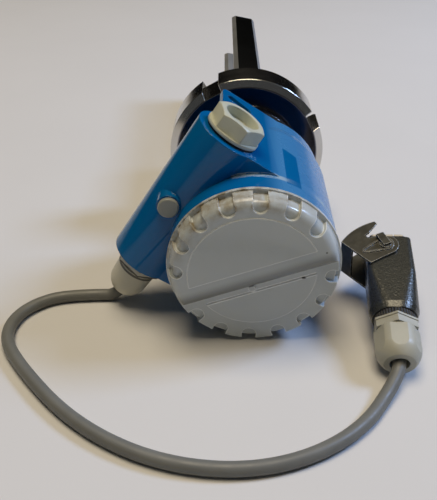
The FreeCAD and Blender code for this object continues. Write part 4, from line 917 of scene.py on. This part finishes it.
@dataclass(frozen=True)
class LampLens(Finish):
    """Clear coloured lens of the status lamp."""

    tones: Patches = Patches(1.2, 2.0, 0.3, 0.7)
    smears: Patches = Patches(0.6, 2.0, 0.3, 0.7)
    smear_roughness: Span = (0.08, 0.16)

    def dress(self, shader: Shader) -> None:
        """Let light through the lens, with slightly uneven gloss.

        Args:
            shader: The material's nodes.
        """
        shader.set(Base_Color=self.toned(shader, self.tones, 0.88), Transmission_Weight=0.6, IOR=1.49)
        shader.set(Roughness=shader.patches(self.smears).between(self.smear_roughness))


@dataclass(frozen=True)
class TablePaper(Finish):
    """Pale matt table top."""

    tones: Patches = Patches(120.0, 3.0, 0.3, 0.7)

    def dress(self, shader: Shader) -> None:
        """Lay a pale surface with barely visible tone changes."""
        shader.set(Base_Color=self.toned(shader, self.tones, 0.985))
        shader.set(Roughness=0.75, Specular_IOR_Level=0.3)


HOUSING_PAINT = HousingPaint("housing_enamel", (0.001, 0.118, 0.325))
COVER_PAINT = CoverPaint("cover_enamel", (0.495, 0.53, 0.525))
NUT_STEEL = TurnedSteel("turned_steel", (0.62, 0.6, 0.57))
COLLAR_STEEL = PlainMetal("collar_steel", (0.34, 0.34, 0.35), roughness=0.12)
# The neck's near-black colour is painted shade, for the shadow behind the pot's shoulder
NECK_SHADED_STEEL = PlainMetal("neck_steel_shaded", (0.05, 0.05, 0.08), roughness=0.4)
TINE_STEEL = ForkSteel("fork_steel_polish", (0.6, 0.6, 0.585))
PLUG_PLASTIC = Moulded("plug_cream", (0.56, 0.575, 0.465), roughness=0.34, edge_radius=1.2)
GLAND_PLASTIC = Moulded("gland_grey", (0.44, 0.435, 0.365), roughness=0.38)
VENT_PLASTIC = Moulded("vent_grey", (0.3, 0.31, 0.28), roughness=0.4)
ENTRY_PLASTIC = Grooved("entry_grey", (0.6, 0.58, 0.48), roughness=0.38)
BLACK_RUBBER = Moulded("seal_rubber", (0.012, 0.012, 0.013), dirt=(0.09, 0.08, 0.07), roughness=0.5)
KNURL_PLASTIC = Moulded("knurl_black", (0.014, 0.014, 0.014), dirt=(0.1, 0.095, 0.085), roughness=0.46)
SHEATH_PLASTIC = Moulded("sheath_grey", (0.165, 0.168, 0.155), dirt=(0.11, 0.1, 0.075), roughness=0.44,
                         grain=0.35, grain_depth=0.02)
HOOD_PAINT = HammeredPaint("hood_hammered", (0.036, 0.036, 0.028))
LEVER_STEEL = LeverSteel("lever_lacquer", (0.055, 0.051, 0.036))
INSERT_PLASTIC = Moulded("insert_beige", (0.6, 0.53, 0.4), roughness=0.48)
POTTING = Moulded("potting_dark", (0.03, 0.034, 0.04), dirt=(0.12, 0.12, 0.12), roughness=0.3)
TERMINAL_PLASTIC = Moulded("terminal_green", (0.12, 0.3, 0.16))
SWITCH_PLASTIC = Moulded("switch_white", (0.74, 0.74, 0.7))
CERAMIC = Moulded("drive_ceramic_buff", (0.66, 0.61, 0.5), roughness=0.6)
LEAD_PLASTIC = Moulded("lead_red", (0.42, 0.05, 0.04))
SCREW_STEEL = PlainMetal("screw_bright", (0.62, 0.61, 0.58))
CONTACT_BRASS = PlainMetal("contact_brass_dull", (0.74, 0.56, 0.26), roughness=0.35)
LAMP_LENS = LampLens("lamp_green", (0.12, 0.66, 0.2))
TABLE_PAPER = TablePaper("table_paper", (0.64, 0.635, 0.63))


def dress_nodes(finish: Finish, *names: str) -> None:
    """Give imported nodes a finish.

    Args:
        finish: The finish that they share.
        names: The nodes.
    """
    material = finish.material()
    for name in names:
        item = frame["nodes"][name]
        if not item.material_slots:
            item.data.materials.append(material)
        for slot in item.material_slots:
            slot.material = material
        LOG.info("%s has the finish %s", name, finish.name)


def show(name: str, data: bpy.types.ID) -> bpy.types.Object:
    """Put an object into the scene.

    Args:
        name: The object's name.
        data: Its mesh, curve, light or camera.

    Returns:
        The object, at the origin.
    """
    item = bpy.data.objects.new(name, data)
    bpy.context.scene.collection.objects.link(item)
    return item


def mesh_from(name: str, shape: bmesh.types.BMesh, finish: Finish) -> bpy.types.Mesh:
    """Turn a finished bmesh into a mesh with a finish.

    Args:
        name: The mesh's name.
        shape: Its shape, which is freed.
        finish: Its finish.

    Returns:
        The mesh.
    """
    data = bpy.data.meshes.new(name)
    shape.to_mesh(data)
    shape.free()
    data.materials.append(finish.material())
    return data


class Assembly(ABC):
    """A sub-assembly of the object, or the stage that it lies on."""

    @abstractmethod
    def build(self) -> None:
        """Make its pieces and dress them."""


@dataclass(frozen=True)
class Thread:
    """A thread ridge that winds along the instrument's axis, in millimetres."""

    name: str
    root_radius: float
    crest_radius: float
    start: float
    turns: float
    pitch: float
    ridge_share: float = 0.8
    crest_share: float = 0.2
    steps_per_turn: int = 72

    def build(self, finish: Finish, body: Body, slot: Slot) -> None:
        """Wind the ridge's section round the axis.

        Args:
            finish: The ridge's finish.
            body: The body that it moves with.
            slot: The material slot that matches its finish; not used.
        """
        shape = bmesh.new()
        foot = self.pitch * self.ridge_share / 2.0
        crest = self.pitch * self.crest_share / 2.0
        section = ((self.root_radius, -foot), (self.crest_radius, -crest),
                   (self.crest_radius, crest), (self.root_radius, foot))
        face = shape.faces.new([
            shape.verts.new((radius * MM, 0.0, (self.start + level) * MM)) for radius, level in section])
        steps = round(self.turns * self.steps_per_turn)
        bmesh.ops.spin(
            shape, geom=[face, *face.edges, *face.verts], cent=(0.0, 0.0, 0.0), axis=(0.0, 0.0, 1.0),
            dvec=(0.0, 0.0, self.pitch * self.turns / steps * MM), angle=math.tau * self.turns, steps=steps,
            use_merge=False)
        bmesh.ops.transform(shape, matrix=INSTRUMENT.matrix(), verts=shape.verts)
        bmesh.ops.remove_doubles(shape, verts=shape.verts, dist=MERGE_DISTANCE)
        bmesh.ops.recalc_face_normals(shape, faces=shape.faces)
        item = show(self.name, mesh_from(self.name, shape, finish))
        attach(item, body.value)
        LOG.info("%s has %d faces", self.name, len(item.data.polygons))


@dataclass
class Cable(Assembly):
    """The grey cable from the housing gland to the hood gland."""

    diameter: float = 0.006
    length: float = 0.3185
    bevel_resolution: int = 8
    curve_resolution: int = 16
    spline_order: int = 3
    route: tuple[tuple[float, float, float], ...] = (
        (-0.0513, -0.1485, 0.0112), (-0.0565, -0.1481, 0.00315), (-0.0675, -0.1478, 0.00305),
        (-0.0860, -0.1499, 0.00305), (-0.0965, -0.1563, 0.00305), (-0.1034, -0.1661, 0.00305),
        (-0.1053, -0.1780, 0.00305), (-0.1018, -0.1900, 0.00305), (-0.0943, -0.2012, 0.00305),
        (-0.0848, -0.2132, 0.00305), (-0.0734, -0.2262, 0.00305), (-0.0606, -0.2382, 0.00305),
        (-0.0458, -0.2486, 0.00305), (-0.0290, -0.2568, 0.00305), (-0.0106, -0.2614, 0.00305),
        (0.0082, -0.2620, 0.00305), (0.0264, -0.2580, 0.00305), (0.0434, -0.2494, 0.00305),
        (0.0573, -0.2374, 0.00305), (0.0666, -0.2245, 0.00305), (0.0736, -0.2144, 0.0060),
        (0.0762, -0.2086, 0.00845), (0.07649, -0.20568, 0.0092))
    on_cord: tuple[str, ...] = (
        "hood_cable_tail", "hood_shell", "hood_gasket", "contact_insert", "contacts", "insert_fixing_screw",
        "lever_pegs", "locking_lever", "hood_gland_ring", "hood_gland_body", "hood_gland_cap_nut",
        "hood_gland_insert")

    def build(self) -> None:
        """Lay the cable as one smooth curve along its route."""
        data = bpy.data.curves.new("cable_sheath_run", "CURVE")
        data.dimensions = "3D"
        data.resolution_u = self.curve_resolution
        data.bevel_depth = self.diameter / 2.0
        data.bevel_resolution = self.bevel_resolution
        data.use_fill_caps = True
        spline = data.splines.new("NURBS")
        spline.points.add(len(self.route) - 1)
        for point, place in zip(spline.points, self.route):
            point.co = (*place, 1.0)
        spline.order_u = self.spline_order
        spline.use_endpoint_u = True
        data.materials.append(SHEATH_PLASTIC.material())
        item = show("cable_run", data)
        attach(item, Body.INSTRUMENT.value)
        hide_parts("cable")
        LOG.info("cable_run is laid through %d places", len(self.route))


@dataclass
class Head(Assembly):
    """Housing with its cover, plug, gland and vent."""

    thread: Thread = Thread(
        "cover_thread", root_radius=35.5, crest_radius=35.88, start=108.3, turns=1.8, pitch=2.0)

    def build(self) -> None:
        """Dress the head and cut the cover's thread."""
        dress_nodes(HOUSING_PAINT, "housing")
        dress_nodes(COVER_PAINT, "cover")
        dress_nodes(PLUG_PLASTIC, "blanking_plug")
        dress_nodes(VENT_PLASTIC, "vent_cap")
        dress_nodes(ENTRY_PLASTIC, "gland_body", "gland_cap_nut")
        dress_nodes(BLACK_RUBBER, "plug_seal", "gland_seal", "gland_insert", "cover_seal", "neck_seal")
        dress_nodes(SHEATH_PLASTIC, "cable_tail", "hood_cable_tail")
        self.thread.build(COVER_PAINT, Body.COVER, Slot.COVER)


@dataclass
class Process(Assembly):
    """Union nut, collar, neck and fork."""

    thread: Thread = Thread(
        "union_nut_thread", root_radius=37.6, crest_radius=35.9, start=-17.6, turns=3.0, pitch=4.2)

    def build(self) -> None:
        """Dress the process parts and cut the nut's round thread."""
        dress_nodes(NUT_STEEL, "union_nut")
        dress_nodes(COLLAR_STEEL, "process_collar")
        # The neck tube gets near-black steel as painted shade
        dress_nodes(NECK_SHADED_STEEL, "neck_tube")
        dress_nodes(TINE_STEEL, "fork", "sensor_tube")
        self.thread.build(NUT_STEEL, Body.NUT, Slot.STEEL)


@dataclass
class Inside(Assembly):
    """Electronics and drive inside the head and the sensor tube."""

    def build(self) -> None:
        """Dress the inner pieces."""
        dress_nodes(POTTING, "electronic_insert")
        dress_nodes(TERMINAL_PLASTIC, "terminal_block")
        dress_nodes(SWITCH_PLASTIC, "fail_safe_switch", "density_switch")
        dress_nodes(CERAMIC, "piezo_discs")
        dress_nodes(LEAD_PLASTIC, "sensor_leads", "cable_cores")
        dress_nodes(LAMP_LENS, "status_lamp")
        dress_nodes(SCREW_STEEL, "insert_screws", "terminal_screws", "earth_screw", "stack_bolt", "stack_nut",
                    "neck_ring_nut")


@dataclass
class Hood(Assembly):
    """Connector hood with its lever, insert and gland."""

    def build(self) -> None:
        """Dress the hood."""
        dress_nodes(HOOD_PAINT, "hood_shell")
        dress_nodes(LEVER_STEEL, "locking_lever", "lever_pegs")
        dress_nodes(INSERT_PLASTIC, "contact_insert")
        dress_nodes(CONTACT_BRASS, "contacts")
        dress_nodes(SCREW_STEEL, "insert_fixing_screw")
        dress_nodes(BLACK_RUBBER, "hood_gasket", "hood_gland_insert")
        dress_nodes(KNURL_PLASTIC, "hood_gland_ring")
        dress_nodes(GLAND_PLASTIC, "hood_gland_body", "hood_gland_cap_nut")


@dataclass(frozen=True)
class Daylight:
    """One soft square window of light."""

    name: str
    place: Vector
    width: float
    power: float
    colour: Colour

    def build(self, target: Vector) -> None:
        """Hang the window and turn it to the object.

        Args:
            target: The point that it faces.
        """
        data = bpy.data.lights.new(self.name, "AREA")
        data.shape = "SQUARE"
        data.size = self.width
        data.energy = self.power
        data.color = self.colour
        item = show(self.name, data)
        item.location = self.place
        item.rotation_euler = (target - self.place).to_track_quat("-Z", "Y").to_euler()


@dataclass
class Studio(Assembly):
    """Pale table, soft daylight and the camera at the photograph's angle."""

    camera_place: Vector = Vector((-0.00146, -0.42826, 0.1962))
    camera_tilt: float = 59.395
    camera_turn: float = 0.435
    lens: float = 46.8
    sensor: float = 36.0
    clip_start: float = 0.01
    table_half_width: float = 4.0
    target: Vector = Vector((0.0, -0.11, 0.03))
    windows: tuple[Daylight, ...] = (
        Daylight("cool_window", Vector((1.5, 0.2, 1.4)), 0.5, 18.0, (0.62, 0.88, 1.45)),
        Daylight("warm_window", Vector((-0.15, -0.1, 3.2)), 1.8, 65.0, (1.17, 1.0, 0.73)))
    room_near: Colour = (0.055, 0.058, 0.06)
    room_low: Colour = (0.003, 0.003, 0.003)
    room_high: Colour = (0.1, 0.095, 0.08)
    near_to_far: Fade = Fade(-0.25, 0.3)
    low_to_high: Fade = Fade(0.25, 0.75)

    def build(self) -> None:
        """Set the whole stage."""
        self.lay_table()
        self.fill_room()
        for window in self.windows:
            window.build(self.target)
        self.aim_camera()
        bpy.context.scene.view_settings.view_transform = "Standard"

    def lay_table(self) -> None:
        """Lay the table top."""
        shape = bmesh.new()
        bmesh.ops.create_grid(shape, x_segments=1, y_segments=1, size=self.table_half_width)
        item = show("table_top", mesh_from("table_top", shape, TABLE_PAPER))

    def fill_room(self) -> None:
        """Fill the room: dim on the near side and overhead, and dark low down behind the object."""
        world = bpy.data.worlds.new("room")
        world.use_nodes = True
        room = Nodes(world.node_tree)
        way = room.add("ShaderNodeTexCoord").outputs["Generated"]
        parts = room.add("ShaderNodeSeparateXYZ", None, {0: way}).outputs
        far = room.mix(Value(room, parts["Z"]).past(self.low_to_high), self.room_low, self.room_high)
        light = room.mix(Value(room, parts["Y"]).past(self.near_to_far), self.room_near, far)
        background = room.add("ShaderNodeBackground", None, {"Color": light})
        room.add("ShaderNodeOutputWorld", None, {"Surface": background.outputs[0]})
        bpy.context.scene.world = world

    def aim_camera(self) -> None:
        """Stand the camera where the photograph was taken."""
        data = bpy.data.cameras.new("photo_camera")
        data.lens = self.lens
        data.sensor_width = self.sensor
        data.clip_start = self.clip_start
        item = show("photo_camera", data)
        item.location = self.camera_place
        item.rotation_euler = (math.radians(self.camera_tilt), 0.0, math.radians(self.camera_turn))
        bpy.context.scene.camera = item


def main() -> None:
    """Dress the level switch and set the stage."""
    logging.basicConfig(level=logging.INFO, format="%(name)s: %(message)s")
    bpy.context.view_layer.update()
    for part in (Studio(), Cable(), Head(), Process(), Inside(), Hood()):
        part.build()
        LOG.info("%s done", type(part).__name__)


if __name__ == "__main__":
    main()
